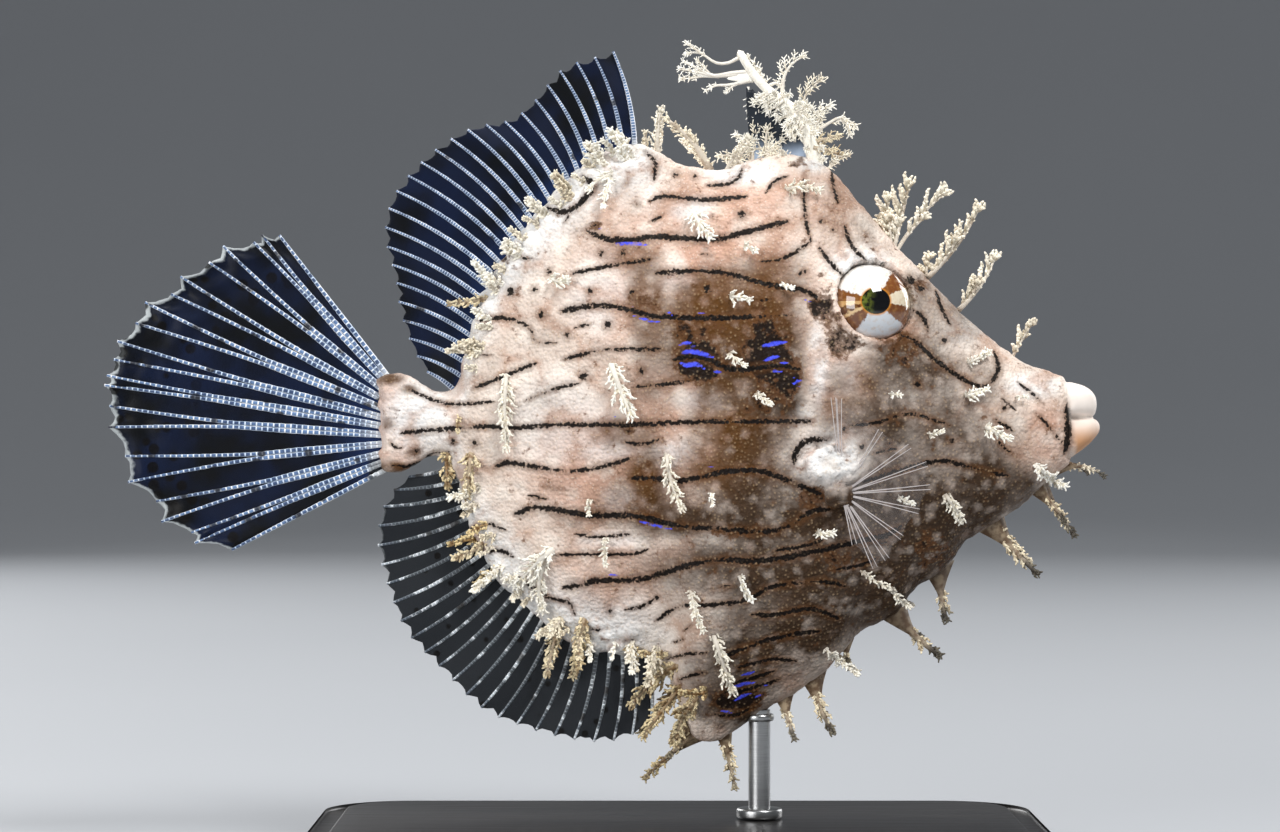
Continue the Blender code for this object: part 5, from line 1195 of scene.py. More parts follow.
for line, up, start, end, count, clusters in TUFT_STRETCHES:
    walk = np.linspace(start, end, TRAIL_PLACES)
    trail = np.stack((walk, line(walk)), axis=1)
    far = distance_along(*trail.T)

    def outward(at):
        lean = trail[min(at + 2, TRAIL_PLACES - 1)] - trail[max(at - 2, 0)]
        away = Vector((-lean[1], 0, lean[0])).normalized()
        return away * (1 if away.z * up > 0 or abs(away.z) < 0.05 and away.x < 0 else -1)

    for side in (-1, 1):
        for i in range(count):
            want = far[-1] * (i + chance.uniform(0.1, 0.9)) / count
            at = min(TRAIL_PLACES - 1, int(np.searchsorted(far, want)))
            root_tuft(*trail[at], outward(at), chance.uniform(0.5, 1.4), chance.uniform(1.2, 2.0),
                      chance.uniform(0.0, 0.5), side, chance)
        for spot_x, spot_z, tone in clusters:
            at = int(np.argmin(np.hypot(trail[:, 0] - spot_x, trail[:, 1] - spot_z)))
            for i in range(2):
                near = min(TRAIL_PLACES - 1, max(0, at + chance.randint(-6, 6)))
                root_tuft(*trail[near], outward(near), chance.uniform(1.5, 3.2), chance.uniform(2.0, 3.0),
                          tone + chance.uniform(-0.1, 0.2), side, chance)
grown("head_tassels", head_coat)
grown("body_tassels", body_coat)
grown("fin_root_tassels", root_coat)

# Soft fins of the back, the belly and the tail: a thin smoky membrane of tinted resin, stiffened by
# pale jointed rays that stand proud of both faces. The tail's rays fork towards the free edge.
DORSAL_ROOT = (5.0, -23.9)
DORSAL_EDGE = [(1.6, 128.8), (-6.2, 126.3), (-10.6, 121.4), (-14.8, 118.0), (-21.4, 116.4),
               (-28.2, 112.0), (-33.2, 106.2), (-34.9, 99.6), (-33.2, 92.4), (-32.4, 87.2),
               (-30.4, 81.2), (-28.2, 77.6)]
DORSAL_RAYS = 25
ANAL_ROOT = (7.0, -23.6)
ANAL_EDGE = [(7.6, 20.6), (1.0, 18.4), (-6.6, 19.1), (-13.2, 20.9), (-19.4, 23.8),
             (-26.0, 30.2), (-31.2, 35.8), (-34.4, 43.0), (-36.1, 50.4), (-34.8, 57.0),
             (-31.2, 60.8)]
ANAL_RAYS = 24
RAY_STEPS = 56
RAY_VALUES = ("walked", "along", "edge")


def even_places(xs, zs, count):
    """Evenly spaced (x, z) places along a trail."""
    far = distance_along(xs, zs)
    wanted = np.linspace(0, far[-1], count)
    return list(zip(np.interp(wanted, far, xs), np.interp(wanted, far, zs)))


def bowed(root, tip, bow, ripple, steps=RAY_STEPS):
    """A ray from root to tip that bows to one side and sways a little out of the fin's plane."""
    aside = Vector((-(tip.z - root.z), 0, tip.x - root.x)) * bow
    places = []
    for i in range(steps + 1):
        t = i / steps
        place = root.lerp(tip, t) + aside * 4 * t * (1 - t)
        place.y += ripple * math.sin(math.pi * 0.5 * t) ** 2
        places.append(place)
    return places


def ray_rods(bones, line, halves, pitch, sides=8):
    """One jointed ray as a flat rod, with half widths at its root, a third along and at its end."""
    last = len(line) - 1
    first = len(bones["points"])
    walked = 0.0
    for i, place in enumerate(line):
        run = (line[min(i + 1, last)] - line[max(i - 1, 0)]).normalized()
        across = run.cross(LEFTWARD).normalized()
        if i:
            walked += (place - line[i - 1]).length
        half = float(np.interp(i / last, (0, 0.35, 1), halves))
        half *= 1 + 0.07 * math.cos(2 * math.pi * walked / pitch)
        for k in range(sides):
            a = 2 * math.pi * k / sides
            bones["points"].append(place + across * math.cos(a) * half
                                   + Vector((0, math.sin(a) * (half * 0.35 + 0.13), 0)))
            bones["edge"].append(abs(math.cos(a)))
        bones["walked"] += [walked / pitch] * sides
        bones["along"] += [i / last] * sides
    bones["faces"] += ring_faces(first, last + 1, sides)
    bones["faces"].append([first + k for k in range(sides - 1, -1, -1)])
    bones["faces"].append([first + last * sides + k for k in range(sides)])


def fin_sheet(lines, half, scallop, chance):
    """Closed thin sheet stretched over the rays' lines, drawn in between them at the free edge."""
    columns = [[(place, 0.0) for place in lines[0]]]
    for left, right in zip(lines, lines[1:]):
        for part in (0.25, 0.5, 0.75):
            dip = scallop * math.sin(math.pi * part) * chance.uniform(0.6, 1.3)
            column = []
            for a, b in zip(left, right):
                column.append((a.lerp(b, part), dip))
            columns.append(column)
        columns.append([(place, 0.0) for place in right])
    rows = len(lines[0])
    points, faces, reach = [], [], []
    for sign in (-1, 1):
        for column in columns:
            for i, (place, dip) in enumerate(column):
                t = i / (rows - 1)
                drawn = column[-1][0] - column[-2][0]
                spot = place - drawn.normalized() * dip * t ** 6
                points.append(spot + Vector((0, sign * half, 0)))
                reach.append(t)
    wide = len(columns)
    for sign, offset in ((-1, 0), (1, wide * rows)):
        for c in range(wide - 1):
            for r in range(rows - 1):
                a = offset + c * rows + r
                quad = (a, a + rows, a + rows + 1, a + 1)
                faces.append(quad if sign < 0 else quad[::-1])
    rim = ([c * rows for c in range(wide)] + [(wide - 1) * rows + r for r in range(1, rows)]
           + [c * rows + rows - 1 for c in range(wide - 2, -1, -1)] + [r for r in range(rows - 2, 0, -1)])
    for a, b in zip(rim, rim[1:] + rim[:1]):
        faces.append((b, a, a + wide * rows, b + wide * rows))
    return {"points": points, "faces": faces, "margin": reach}


# Tinted cast resin film: smoky navy and a little see-through, with faint streaks and dark flecks
smoky_film, tree, shader, place = finish_of("smoky_film", Roughness=0.45, IOR=1.4, Specular_IOR_Level=0.2,
                                            Alpha=0.92)
margin = wire(tree, "Attribute", {}, "Fac", attribute_name="margin")
cloud = wire(tree, "TexNoise", {"Vector": place, "Scale": 0.10, "Detail": 3.0})
speck = wire(tree, "TexVoronoi", {"Vector": place, "Scale": 0.34, "Randomness": 1.0}, "Distance")
place_x = wire(tree, "SeparateXYZ", {0: place}, "X")
place_z = wire(tree, "SeparateXYZ", {0: place}, "Z")
ground = wire(tree, "MapRange", (cloud, 0.35, 0.65), **SOFT)
blue_root = wire(tree, "MapRange", (margin, 0.30, 0.0, 0.0, 0.8), **SOFT)
# charcoal in the fin under the body, slate with a pale foot in the small sail behind the spine
low_share = wire(tree, "MapRange", (place_z, 66.0, 62.0), **SOFT)
off_tail = wire(tree, "MapRange", (place_x, -38.0, -37.0), **SOFT)
under_share = wire(tree, "Math", (low_share, off_tail), **TIMES)
sail_share = wire(tree, "MapRange", (place_x, 20.0, 21.0), **SOFT)
sail_foot = wire(tree, "MapRange", (place_z, 115.4, 111.6, 0.0, 0.85), **SOFT)
sail_colour = wire(tree, "MixRGB", (cloud, linear("14171C"), linear("343B44")))
sail_colour = wire(tree, "MixRGB", (sail_foot, sail_colour, linear("B4C6DE")))
# a pale hem on the tail, dark spots on the tail and smaller ones under the body
tail_share = wire(tree, "MapRange", (place_x, -34.0, -38.0), **SOFT)
border = wire(tree, "TexNoise", {"Vector": place, "Scale": 0.9, "Detail": 2.0})
border = wire(tree, "MapRange", (border, 0.0, 1.0, -0.0175, 0.0175))
border = wire(tree, "Math", (margin, border), **PLUS)
hem = wire(tree, "MapRange", (border, 0.976, 0.994, 0.0, 0.8), **SOFT)
hem = wire(tree, "Math", (hem, tail_share), **TIMES)
tail_spots = wire(tree, "MapRange", (speck, 0.36, 0.26, 0.0, 0.9), **SOFT)
spot_zone = wire(tree, "MapRange", (margin, 0.55, 0.85), **SOFT)
spot_zone = wire(tree, "Math", (spot_zone, tail_share), **TIMES)
tail_spots = wire(tree, "Math", (tail_spots, spot_zone), **TIMES)
under_spots = wire(tree, "MapRange", (speck, 0.22, 0.16), **SOFT)
under_spots = wire(tree, "Math", (under_spots, under_share), **TIMES)
colour = wire(tree, "MixRGB", (ground, linear("06080C"), linear("0C1730")))
for share, paint in ((blue_root, linear("182C55")), (under_share, linear("212428")),
                     (sail_share, sail_colour), (hem, linear("C4CACB")),
                     (tail_spots, linear("060403")), (under_spots, linear("060403"))):
    colour = wire(tree, "MixRGB", (share, colour, paint))
tree.links.new(colour, shader.inputs["Base Color"])

# Jointed rays in enamel: slate-blue segments between pale edges and pale bars, whiter at the root,
# and grey with white glints in the fin under the body
ray_enamel, tree, shader, place = finish_of("ray_enamel", Roughness=0.35, IOR=1.5)
ray = {name: wire(tree, "Attribute", {}, "Fac", attribute_name=name) for name in RAY_VALUES}
beat = wire(tree, "Math", (ray["walked"], 1.0), operation="FRACT")
bar = wire(tree, "Math", (beat, 0.5), operation="SUBTRACT")
bar = wire(tree, "Math", (bar,), operation="ABSOLUTE")
patchy = wire(tree, "TexNoise", {"Vector": place, "Scale": 0.35, "Detail": 2.0})
glint = wire(tree, "TexNoise", {"Vector": place, "Scale": 0.55, "Detail": 1.0})
low_share = wire(tree, "MapRange", (wire(tree, "SeparateXYZ", {0: place}, "Z"), 66.0, 62.0), **SOFT)
off_tail = wire(tree, "MapRange", (wire(tree, "SeparateXYZ", {0: place}, "X"), -38.0, -37.0), **SOFT)
under_share = wire(tree, "Math", (low_share, off_tail), **TIMES)
# Each paint as a pair for the fins above and a pair for the fin under the body: cloudy above, and
# with painted white glints under the body
paints = []
for low, high, dull, bright, under_low, under_high, under_dull, under_bright in (
        (0.35, 0.65, "C2D4EA", "FBFCFD", 0.50, 0.60, "7E868C", "F2F6F8"),
        (0.40, 0.62, "31466A", "6482AC", 0.52, 0.64, "3E4348", "B8C0C6")):
    above = wire(tree, "MapRange", (patchy, low, high), **SOFT)
    above = wire(tree, "MixRGB", (above, linear(dull), linear(bright)))
    under = wire(tree, "MapRange", (glint, under_low, under_high), **SOFT)
    under = wire(tree, "MixRGB", (under, linear(under_dull), linear(under_bright)))
    paints.append(wire(tree, "MixRGB", (under_share, above, under)))
pale, segment = paints
bars = wire(tree, "MapRange", (bar, 0.17, 0.08), **SOFT)
sides = wire(tree, "MapRange", (ray["edge"], 0.62, 0.82), **SOFT)
lines_share = wire(tree, "Math", (bars, sides), operation="MAXIMUM")
root_white = wire(tree, "MapRange", (ray["along"], 0.14, 0.0, 0.0, 0.8), **SOFT)
end_shade = wire(tree, "MapRange", (ray["along"], 0.72, 1.0, 0.0, 0.2), **SOFT)
flecks = wire(tree, "TexVoronoi", {"Vector": place, "Scale": 0.30, "Randomness": 1.0}, "Distance")
flecks = wire(tree, "MapRange", (flecks, 0.27, 0.19, 0.0, 0.85), **SOFT)
colour = segment
for share, paint in ((lines_share, pale), (root_white, linear("E4E6E6")), (end_shade, linear("5F6E86")),
                     (flecks, linear("1A140F"))):
    colour = wire(tree, "MixRGB", (share, colour, paint))
tree.links.new(colour, shader.inputs["Base Color"])

fin_chance = random.Random(5)
for name, line, root, edge, count, up, bow, halves, pitch in (
        ("soft_dorsal_fin", back, DORSAL_ROOT, DORSAL_EDGE, DORSAL_RAYS, 1, -0.05, (0.46, 0.38, 0.2), 0.44),
        ("anal_fin", belly, ANAL_ROOT, ANAL_EDGE, ANAL_RAYS, -1, 0.04, (0.40, 0.36, 0.22), 0.6)):
    lines, bones = [], new_form(*RAY_VALUES)
    ends = even_places(*zip(*dense_route(edge)), count)
    walk = np.linspace(*root, TRAIL_PLACES)
    for i, (x, z) in enumerate(even_places(walk, line(walk), count)):
        lean = Vector((0.5, 0, float(line(x + 0.25) - line(x - 0.25))))
        out = Vector((-lean.z, 0, lean.x)).normalized() * up
        start = Vector((x, 0, z)) - out * 0.8
        ripple = 0.55 * math.sin(i * 1.15) + 0.5 * math.sin(i * 0.37)
        lines.append(bowed(start, Vector((ends[i][0], 0, ends[i][1])), bow, ripple))
        ray_rods(bones, lines[-1], halves, pitch)
    film = fin_sheet(lines, 0.09, 0.7, fin_chance)
    made_piece(name + "_membrane", film, ("margin",), smoky_film, "fin_membrane", name)
    made_piece(name + "_rays", bones, RAY_VALUES, ray_enamel, "fin_membrane")

# Tail fin: each ray's end from top to bottom, then where it forks as a part of its length and half
# the spread of its two branches at the edge
CAUDAL_RAYS = [(-51.8, 99.4, 1, 0.0), (-55.3, 98.9, 0.62, 0.9), (-62.0, 96.4, 0.45, 1.7),
               (-68.4, 91.4, 0.40, 1.6), (-74.0, 87.0, 0.48, 1.8), (-78.0, 81.0, 0.50, 1.5),
               (-79.5, 76.2, 0.62, 0.8), (-79.0, 70.4, 0.56, 1.7), (-76.4, 62.0, 0.50, 2.1),
               (-71.2, 55.2, 0.50, 1.7), (-65.6, 51.0, 0.48, 0.9), (-59.4, 49.1, 1, 0.0)]
CAUDAL_ROOT = (62.4, 76.2)
TAIL_HALVES = (0.28, 0.42, 0.22)
TAIL_PITCH = 0.92
TAIL_STEPS = 72
TAIL_CURL = 1.6
tail_lines, tail_bones = [], new_form(*RAY_VALUES)
for i, (x, z, fork, spread) in enumerate(CAUDAL_RAYS):
    part = i / (len(CAUDAL_RAYS) - 1)
    start = Vector((TAIL_END + 1.0, 0, CAUDAL_ROOT[1] + (CAUDAL_ROOT[0] - CAUDAL_ROOT[1]) * part))
    end = Vector((x, 0, z))
    stem_line = bowed(start, end, 0.0, 0.5 * math.sin(i * 0.9), TAIL_STEPS)
    if not spread:
        tail_lines.append(stem_line)
        ray_rods(tail_bones, stem_line, (0.4, 0.4, 0.22), TAIL_PITCH)
        continue
    aside = (end - start).cross(LEFTWARD).normalized()
    aside *= 1 if aside.z > 0 else -1
    for way in (1, -1):
        branch = []
        for r, place in enumerate(stem_line):
            t = r / TAIL_STEPS
            beside = 0.94 * float(np.interp(t, (0, 0.35, 1), TAIL_HALVES))
            opened = max(0.0, (t - fork) / (1 - fork)) ** 1.15
            spot = place + aside * way * (beside + (spread - beside) * opened)
            spot.y += TAIL_CURL * t ** 8 * noise.noise(spot / 3.0)
            branch.append(spot)
        tail_lines.append(branch)
        ray_rods(tail_bones, branch, TAIL_HALVES, TAIL_PITCH)
tail_film = fin_sheet(tail_lines, 0.09, 0.9, fin_chance)
made_piece("caudal_fin_membrane", tail_film, ("margin",), smoky_film, "fin_membrane", "caudal_fin")
made_piece("caudal_fin_rays", tail_bones, RAY_VALUES, ray_enamel, "fin_membrane")

# First dorsal spine: a stout bony spike with a dark sail of skin behind it, held half raised, and
# crowded with its own pale tassels.
SPINE_LINE = [(34.2, 109.4), (33.2, 113.9), (31.6, 117.4), (29.4, 120.2), (25.6, 123.4), (23.5, 126.0),
              (21.9, 128.6)]
SPINE_RADII = [1.4, 1.15, 0.9, 0.8, 0.75, 0.7, 0.62]
# Its strands and fronds, as half a stem's width, the fronds' width, the bare part of the stem, which
# edge is thinned (minus for the front or lower one), a tone from white to golden, how many lie side
# by side, and a route of (x, z) places
SPINE_STRANDS = [
    (0.36, 1.5, 0.62, 0.0, 0.0, 1,
     [(21.9, 128.0), (20.0, 127.0), (18.1, 127.0), (16.5, 128.0), (14.9, 129.1), (13.6, 130.0)]),
    (0.24, 0.9, 0.5, 0.0, 0.0, 1, [(15.6, 128.6), (14.4, 128.7), (13.4, 128.5)]),
    (0.44, 1.3, 0.62, 0.0, 0.0, 1,
     [(23.4, 125.6), (20.6, 125.4), (17.6, 125.0), (15.4, 126.0), (13.1, 127.1)]),
    (0.36, 1.5, 0.65, 0.0, 0.0, 1, [(21.4, 125.2), (18.2, 124.9), (15.6, 125.4), (12.6, 126.0)]),
    (0.30, 1.3, 0.55, 0.0, 0.0, 1, [(18.6, 124.8), (16.4, 124.9), (14.4, 124.6), (12.7, 124.5)]),
    (0.24, 1.2, 0.3, 0.0, 0.0, 1, [(17.2, 125.2), (16.2, 126.2), (15.3, 127.2)]),
    (0.40, 1.1, 0.70, 0.0, 0.0, 1, [(23.4, 124.2), (20.3, 123.5), (18.1, 123.4), (16.6, 122.7)]),
    (0.20, 0.7, 0.3, 0.0, 0.0, 1, [(21.4, 123.6), (20.4, 123.0), (19.8, 122.5)]),
    (0.40, 2.6, 0.05, 0.9, 0.05, 1, [(28.6, 121.4), (29.0, 124.8), (30.2, 126.8), (31.7, 127.9)]),
    (0.34, 2.8, 0.1, 0.3, 0.3, 1, [(31.4, 118.4), (32.4, 121.8), (33.4, 123.0), (34.6, 124.0)]),
    (0.30, 2.8, 0.3, 0.0, 0.0, 1, [(32.4, 117.4), (33.6, 118.6), (34.9, 119.5), (36.0, 120.0)]),
    (0.40, 2.4, 0.45, -0.5, 0.1, 1,
     [(33.0, 115.0), (34.6, 116.3), (36.4, 117.5), (38.2, 118.3), (40.0, 117.2)]),
    (0.30, 2.0, 0.2, 0.0, 0.0, 1, [(37.4, 118.0), (38.8, 117.4), (39.4, 115.9)]),
    (0.36, 2.2, 0.2, 0.0, 0.6, 2, [(33.6, 113.4), (35.4, 113.0), (37.9, 112.4)]),
    (0.30, 2.4, 0.1, 0.0, 0.5, 2, [(33.4, 113.8), (35.2, 114.8), (37.2, 115.2)]),
    (0.16, 1.5, 0.5, 0.0, 0.3, 1, [(37.0, 112.2), (38.2, 112.0), (39.0, 112.3)]),
    (0.34, 2.6, 0.0, 0.0, 0.0, 2, [(28.4, 121.4), (27.0, 120.8), (25.0, 120.0)]),
    (0.34, 2.4, 0.0, 0.0, 0.0, 2, [(26.8, 122.4), (25.8, 121.6), (24.4, 121.2)]),
    (0.34, 2.4, 0.0, 0.0, 0.0, 2, [(29.0, 120.8), (28.6, 119.2), (27.4, 118.2)]),
    (0.34, 2.8, 0.0, 0.0, 0.0, 2, [(30.8, 118.8), (30.2, 117.4), (28.8, 116.6)]),
    (0.34, 2.8, 0.0, 0.0, 0.0, 2, [(29.8, 120.0), (31.6, 119.6), (32.8, 118.2)]),
    (0.34, 2.6, 0.0, 0.0, 0.05, 2, [(31.8, 117.0), (31.2, 115.8), (30.0, 115.2)]),
    (0.34, 2.6, 0.0, 0.0, 0.1, 2, [(32.4, 116.4), (34.0, 117.0), (34.8, 118.4)]),
    (0.20, 1.4, 0.0, -0.6, 0.0, 2, [(26.2, 123.4), (25.4, 124.8), (24.6, 126.2), (23.4, 127.8)]),
    (0.40, 0.6, 0.6, 0.0, 0.0, 1, [(26.4, 123.2), (27.6, 123.8), (28.2, 123.4)]),
    (0.34, 2.6, 0.0, 0.0, 0.0, 2, [(27.8, 122.0), (26.4, 121.4), (24.6, 120.8)]),
    (0.34, 2.6, 0.0, 0.0, 0.0, 2, [(28.8, 121.0), (27.4, 119.8), (25.8, 119.4)]),
    (0.34, 2.6, 0.0, 0.0, 0.0, 2, [(30.4, 119.4), (29.4, 118.4), (28.4, 118.2)]),
    (0.34, 2.6, 0.0, 0.0, 0.0, 2, [(31.4, 118.2), (30.6, 116.6), (29.2, 115.6)]),
    (0.34, 2.4, 0.0, 0.0, 0.0, 2, [(30.8, 119.0), (32.0, 119.6), (33.0, 119.8)]),
    (0.34, 2.4, 0.0, 0.0, 0.0, 2, [(31.8, 117.6), (33.2, 117.4), (34.2, 116.6)]),
    (0.22, 0.9, 0.2, 0.0, 0.0, 1, [(23.2, 123.2), (23.2, 120.0), (23.8, 116.6)]),
]
# Webs of skin that join strands, as half widths and a route
SPINE_WEBS = [
    ((1.0, 0.8, 0.2), [(24.0, 124.8), (22.0, 124.7), (20.0, 124.5)]),
    ((0.3, 0.6, 0.45), [(17.8, 124.9), (15.8, 125.3), (14.4, 125.7)]),
    ((0.9, 1.2, 0.7), [(30.2, 119.6), (28.0, 121.0), (25.6, 121.8)]),
    ((1.2, 1.4, 0.8), [(32.8, 115.8), (31.0, 118.0), (29.2, 119.2)]),
]
SPINE_BASE_LOCKS = [
    ((25.4, 111.2), (24.2, 114.2), (21.6, 115.4), 2.4, 0.1),
    ((26.0, 111.0), (26.4, 113.4), (28.2, 114.4), 2.6, 0.1),
    ((27.4, 111.4), (26.2, 113.6), (24.0, 113.2), 2.4, 0.0),
    ((23.8, 110.8), (24.0, 113.6), (24.4, 116.8), 2.8, 0.0),
    ((26.4, 110.8), (25.8, 113.6), (26.2, 116.0), 2.8, 0.0),
    ((28.4, 111.0), (27.8, 112.8), (26.4, 114.6), 2.6, 0.0),
    ((29.6, 111.2), (29.0, 112.4), (28.0, 113.0), 2.2, 0.0),
    ((22.4, 110.6), (20.6, 112.6), (18.8, 112.0), 2.2, 0.1),
    ((20.8, 110.2), (21.6, 112.0), (23.2, 113.6), 2.4, 0.0),
    ((35.6, 109.8), (37.0, 110.8), (37.8, 112.0), 1.6, 0.1),
]
spine_coat = new_form("patch", *VALUES)
spine_path = [Vector((x, 0, z)) for x, z in dense_route(SPINE_LINE, 0.8)]
spine_radii = list(np.interp(np.linspace(0, 1, len(spine_path)), np.linspace(0, 1, 7), SPINE_RADII))
limb(spine_coat, spine_path, spine_radii, LEFTWARD, 0.9, (0, 0), (0.6, 0.9),
     look_at(33, 111, 1, 0.1, 0.0), sides=10)
for half, width, bare, lean, tone, many, route in SPINE_STRANDS:
    flat_path = dense_route(route, 0.7)
    for number in range(many):
        sway = chance.uniform(-1.0, 1.0) * (0.4 + number)
        off = 0.0 if not number else chance.choice((-1.0, 1.0))
        shorter = 1.0 if not number else chance.uniform(0.6, 0.85)
        path = [Vector((x, off + sway * i / len(flat_path), z)) for i, (x, z) in enumerate(flat_path)]
        path = path[:max(4, int(shorter * len(path)))]
        look = look_at(33, 111, 1, tone + chance.uniform(-0.05, 0.1), 0.0)
        sprig(spine_coat, path, width, bare, LEFTWARD, half, look, chance, lean=lean, form=NEEDLES)
for halves, route in SPINE_WEBS:
    path = [Vector((x, 0, z)) for x, z in dense_route(route, 0.7)]
    radii = list(np.interp(np.linspace(0, 1, len(path)), np.linspace(0, 1, len(halves)), halves))
    limb(spine_coat, path, radii, LEFTWARD, 0.22, (0, 0), (0.7, 0.8),
         look_at(33, 111, 1, 0.0, 0.0), sides=8)
profile_sprigs(spine_coat, SPINE_BASE_LOCKS, 0.12, 0.0, 0.16, chance, form=NEEDLES)
for side in (-1, 1):
    for i in range(6):
        spot = spine_path[int((0.08 + 0.1 * i) * (len(spine_path) - 1))]
        for turn in (-1, 1):
            tip = spot + Vector((turn * 1.2 + 0.2, side * 1.7, chance.uniform(-0.6, 1.0)))
            path = [spot.lerp(tip, k / 4) for k in range(5)]
            sprig(spine_coat, path, 1.7, 0.1, Vector((0, side, 0)), 0.3,
                  look_at(32, 111, side, 0.0, 0.0), chance, form=NEEDLES)
grown("dorsal_spine_tassels", spine_coat, "dorsal_spine")
SAIL_LINES = [
    ((33.2, 111.0), (32.2, 113.8)), ((31.6, 110.8), (30.8, 116.4)), ((30.0, 110.9), (29.2, 118.6)),
    ((28.2, 111.0), (27.4, 120.2)), ((26.4, 110.8), (25.4, 121.8)), ((25.0, 110.8), (23.9, 122.8)),
    ((24.2, 110.8), (22.9, 123.2)),
]
sail_lines = [bowed(Vector((a[0], 0, a[1])), Vector((b[0], 0, b[1])), 0.03, 0.0, 16) for a, b in SAIL_LINES]
sail_film = fin_sheet(sail_lines, 0.1, 0.4, fin_chance)
made_piece("spine_sail", sail_film, ("margin",), smoky_film, "fin_membrane")

# Side fins: a small fan of fine twin rays on a fleshy root, with a membrane so clear that it hardly
# shows, spread backwards and down against the flank.
PECTORAL_X, PECTORAL_Z = 37.0, 58.3
# Rays as (x, z) of their ends, from the two folded against the flank round to the foot of the fan
PECTORAL_TIPS = [(36.0, 73.4), (36.9, 73.2), (43.4, 68.2), (48.0, 65.8), (50.7, 63.0), (51.2, 59.4),
                 (49.5, 55.6), (46.8, 51.5), (44.5, 48.1), (42.6, 46.8), (39.4, 50.4)]
# Clear resin film that shows only as a faint gloss, and fine rays of half clear resin, both with a
# slight milky haze
fan_finishes = []
for name, rough, clear, haze_size, dull, bright in (("clear_film", 0.25, 0.035, 0.3, "C9C4C4", "E9E4E2"),
                                                    ("pale_ray", 0.35, 0.72, 0.5, "B9AEAC", "E8E2E0")):
    made, tree, shader, place = finish_of(name, Roughness=rough, IOR=1.45, Alpha=clear)
    haze = wire(tree, "TexNoise", {"Vector": place, "Scale": haze_size, "Detail": 2.0})
    tree.links.new(wire(tree, "MixRGB", (haze, linear(dull), linear(bright))), shader.inputs["Base Color"])
    fan_finishes.append(made)
clear_film, pale_ray = fan_finishes
FAN_STEPS = 30
FAN_LIFT = 0.22
for side, name in ((-1, "pectoral_fin_right"), (1, "pectoral_fin_left")):
    depth = float(flank(PECTORAL_X, PECTORAL_Z)) + 1.0
    fan_lines, bones = [], new_form(*RAY_VALUES)
    for i, (x, z) in enumerate(PECTORAL_TIPS):
        heading = Vector((x - PECTORAL_X, 0, z - PECTORAL_Z))
        root = Vector((PECTORAL_X + 0.4, side * depth, PECTORAL_Z)) + heading.normalized() * 0.9
        tip = Vector((x, 0, z))
        tip.y = side * (max(float(flank(x, z)), depth - 1.6) + 1.4 + FAN_LIFT * heading.length * 0.35)
        fan = bowed(root, tip, 0.0, 0.0, FAN_STEPS)
        fan_lines.append(fan)
        aside = heading.cross(LEFTWARD).normalized()
        for way in (1, -1):
            twin = []
            for r, place in enumerate(fan):
                twin.append(place + aside * way * (0.05 + 0.32 * (r / FAN_STEPS) ** 1.2))
            ray_rods(bones, twin, (0.14, 0.10, 0.06), 1.0, 5)
    film = fin_sheet(fan_lines, 0.05, 0.5, fin_chance)
    made_piece(name + "_membrane", film, ("margin",), clear_film, "pectoral_membrane", name)
    made_piece(name + "_rays", bones, (), pale_ray, "pectoral_membrane")

# Display stand: a black lacquered wooden base with rounded corners and a shallow step round its
# top, and a brushed steel rod in a small collar that ends in a cup under the belly.
low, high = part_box("stand_base")
bpy.ops.mesh.primitive_cube_add(size=1, location=((low + high) / 2), scale=(high - low))
base_board = bpy.context.object
base_board.name = "stand_base_board"
bpy.ops.object.transform_apply(location=True, rotation=True, scale=True)


def pick(kind, wanted):
    """Select only those edges or faces of the base that pass a test."""
    bpy.ops.mesh.select_mode(type=kind)
    bpy.ops.mesh.select_all(action="DESELECT")
    board_bm = bmesh.from_edit_mesh(base_board.data)
    for part in board_bm.edges if kind == "EDGE" else board_bm.faces:
        part.select = wanted(part)
    bmesh.update_edit_mesh(base_board.data)


bpy.ops.object.mode_set(mode="EDIT")
pick("EDGE", lambda edge: abs(edge.verts[0].co.z - edge.verts[1].co.z) > 0.001)
bpy.ops.mesh.bevel(offset=0.014, segments=14, affect="EDGES")
pick("FACE", lambda face: face.normal.z > 0.9)
bpy.ops.mesh.inset(thickness=0.0035, depth=0)
pick("FACE", lambda face: face.normal.z > 0.9 and len(face.verts) < 8)
bpy.ops.mesh.extrude_region_move(TRANSFORM_OT_translate={"value": (0, 0, -0.0012)})
bpy.ops.object.mode_set(mode="OBJECT")
softened = base_board.modifiers.new("softened", "BEVEL")
softened.width = 0.0004
softened.segments = 3
softened.limit_method = "ANGLE"
softened.angle_limit = math.radians(40)
bpy.ops.object.modifier_apply(modifier="softened")
bpy.ops.object.shade_smooth_by_angle(angle=math.radians(35))
base_board.select_set(False)
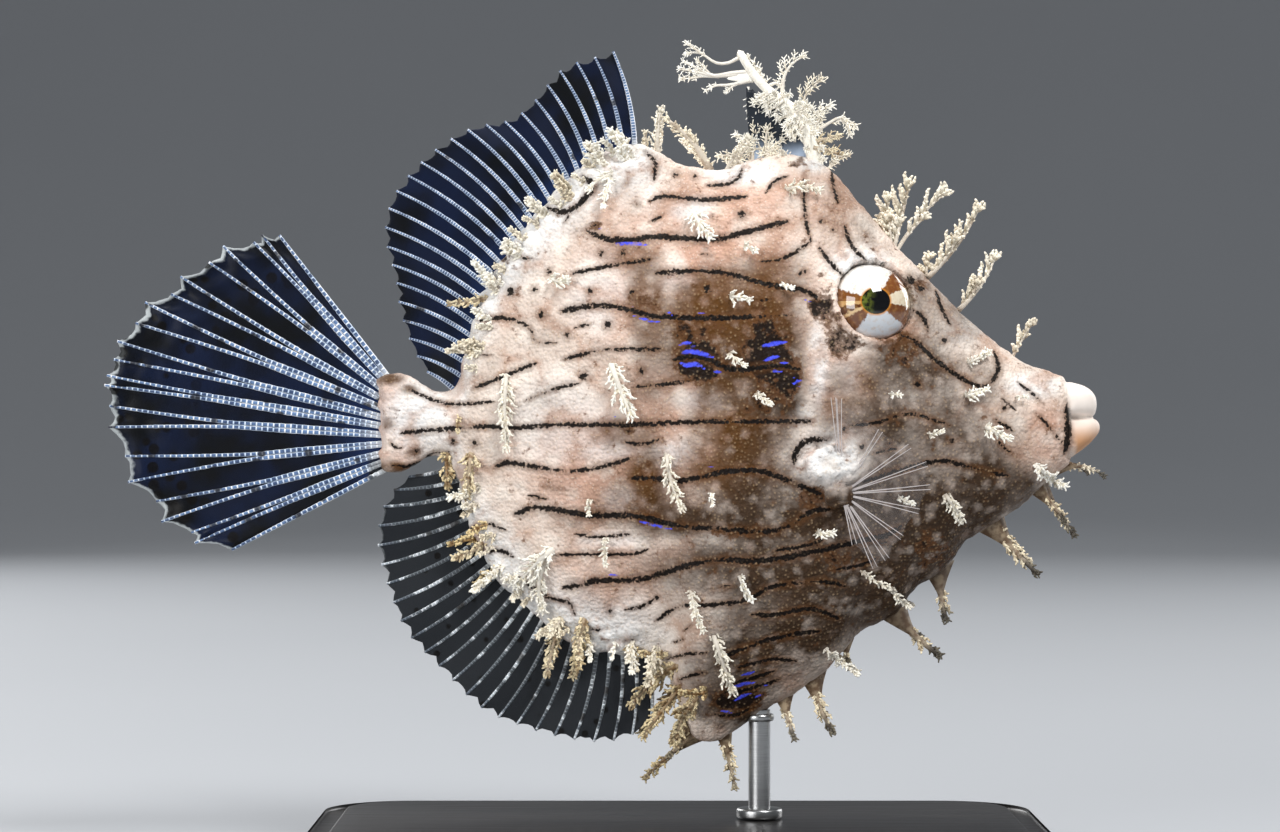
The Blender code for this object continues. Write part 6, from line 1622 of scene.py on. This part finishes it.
# Black lacquer on fine-grained wood: satin, with pores that run lengthwise and barely show
black_lacquer, tree, shader, place = finish_of("black_lacquer", IOR=1.5, Coat_Weight=0.3,
                                               Coat_Roughness=0.2)
place = wire(tree, "VectorMath", {0: place, 1: (0.06, 2.4, 2.4)}, **TIMES)
pores = wire(tree, "TexNoise", {"Vector": place, "Scale": 1.0, "Detail": 4.0})
open_pores = wire(tree, "MapRange", (pores, 0.4, 0.7), **SOFT)
tree.links.new(wire(tree, "MixRGB", (open_pores, linear("1B1918"), linear("2A2624"))),
               shader.inputs["Base Color"])
dull_pores = wire(tree, "MapRange", (pores, 0.3, 0.7, 0.0, 0.12), **SOFT)
tree.links.new(wire(tree, "Math", (dull_pores, 0.32), **PLUS), shader.inputs["Roughness"])
tree.links.new(wire(tree, "Bump", {"Height": pores, "Strength": 0.05, "Distance": 0.0001}, "Normal"),
               shader.inputs["Normal"])
base_board.data.materials.append(black_lacquer)
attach(base_board, "root")
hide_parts("stand_base")

low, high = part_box("stand_rod")
rod_x = (low.x + high.x) / 2
rod_radius = (high.x - low.x) / 2
bpy.ops.mesh.primitive_cylinder_add(vertices=48, radius=rod_radius, depth=high.z - low.z,
                                    location=(rod_x, 0, (low.z + high.z) / 2))
steel_rod = bpy.context.object
steel_rod.name = "stand_steel_rod"
bpy.ops.object.transform_apply(location=True, rotation=True, scale=True)
for at, radius, depth in ((low.z + 0.0007, rod_radius * 2.1, 0.0016),
                          (high.z - 0.0012, rod_radius * 1.35, 0.0012)):
    bpy.ops.mesh.primitive_cylinder_add(vertices=48, radius=radius, depth=depth, location=(rod_x, 0, at))
    collar = bpy.context.object
    rounded = collar.modifiers.new("rounded", "BEVEL")
    rounded.width = 0.0004
    rounded.segments = 3
    rounded.limit_method = "ANGLE"
    bpy.ops.object.modifier_apply(modifier="rounded")
    bpy.ops.object.transform_apply(location=True, rotation=True, scale=True)
    steel_rod.select_set(True)
    bpy.context.view_layer.objects.active = steel_rod
    bpy.ops.object.join()
bpy.ops.object.shade_smooth_by_angle(angle=math.radians(35))
steel_rod.select_set(False)
# Stainless steel brushed round the rod, so that its glints lie in fine rings
brushed_steel, tree, shader, place = finish_of("brushed_steel", Metallic=1.0, Roughness=0.32)
place = wire(tree, "VectorMath", {0: place, 1: (0.3, 0.3, 6.0)}, **TIMES)
brush = wire(tree, "TexNoise", {"Vector": place, "Scale": 1.0, "Detail": 2.0})
tree.links.new(wire(tree, "MixRGB", (brush, linear("8F9090"), linear("B7B8B8"))),
               shader.inputs["Base Color"])
tree.links.new(wire(tree, "Math", (brush, 0.15, 0.25), operation="MULTIPLY_ADD"),
               shader.inputs["Roughness"])
steel_rod.data.materials.append(brushed_steel)
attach(steel_rod, "root")
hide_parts("stand_rod")
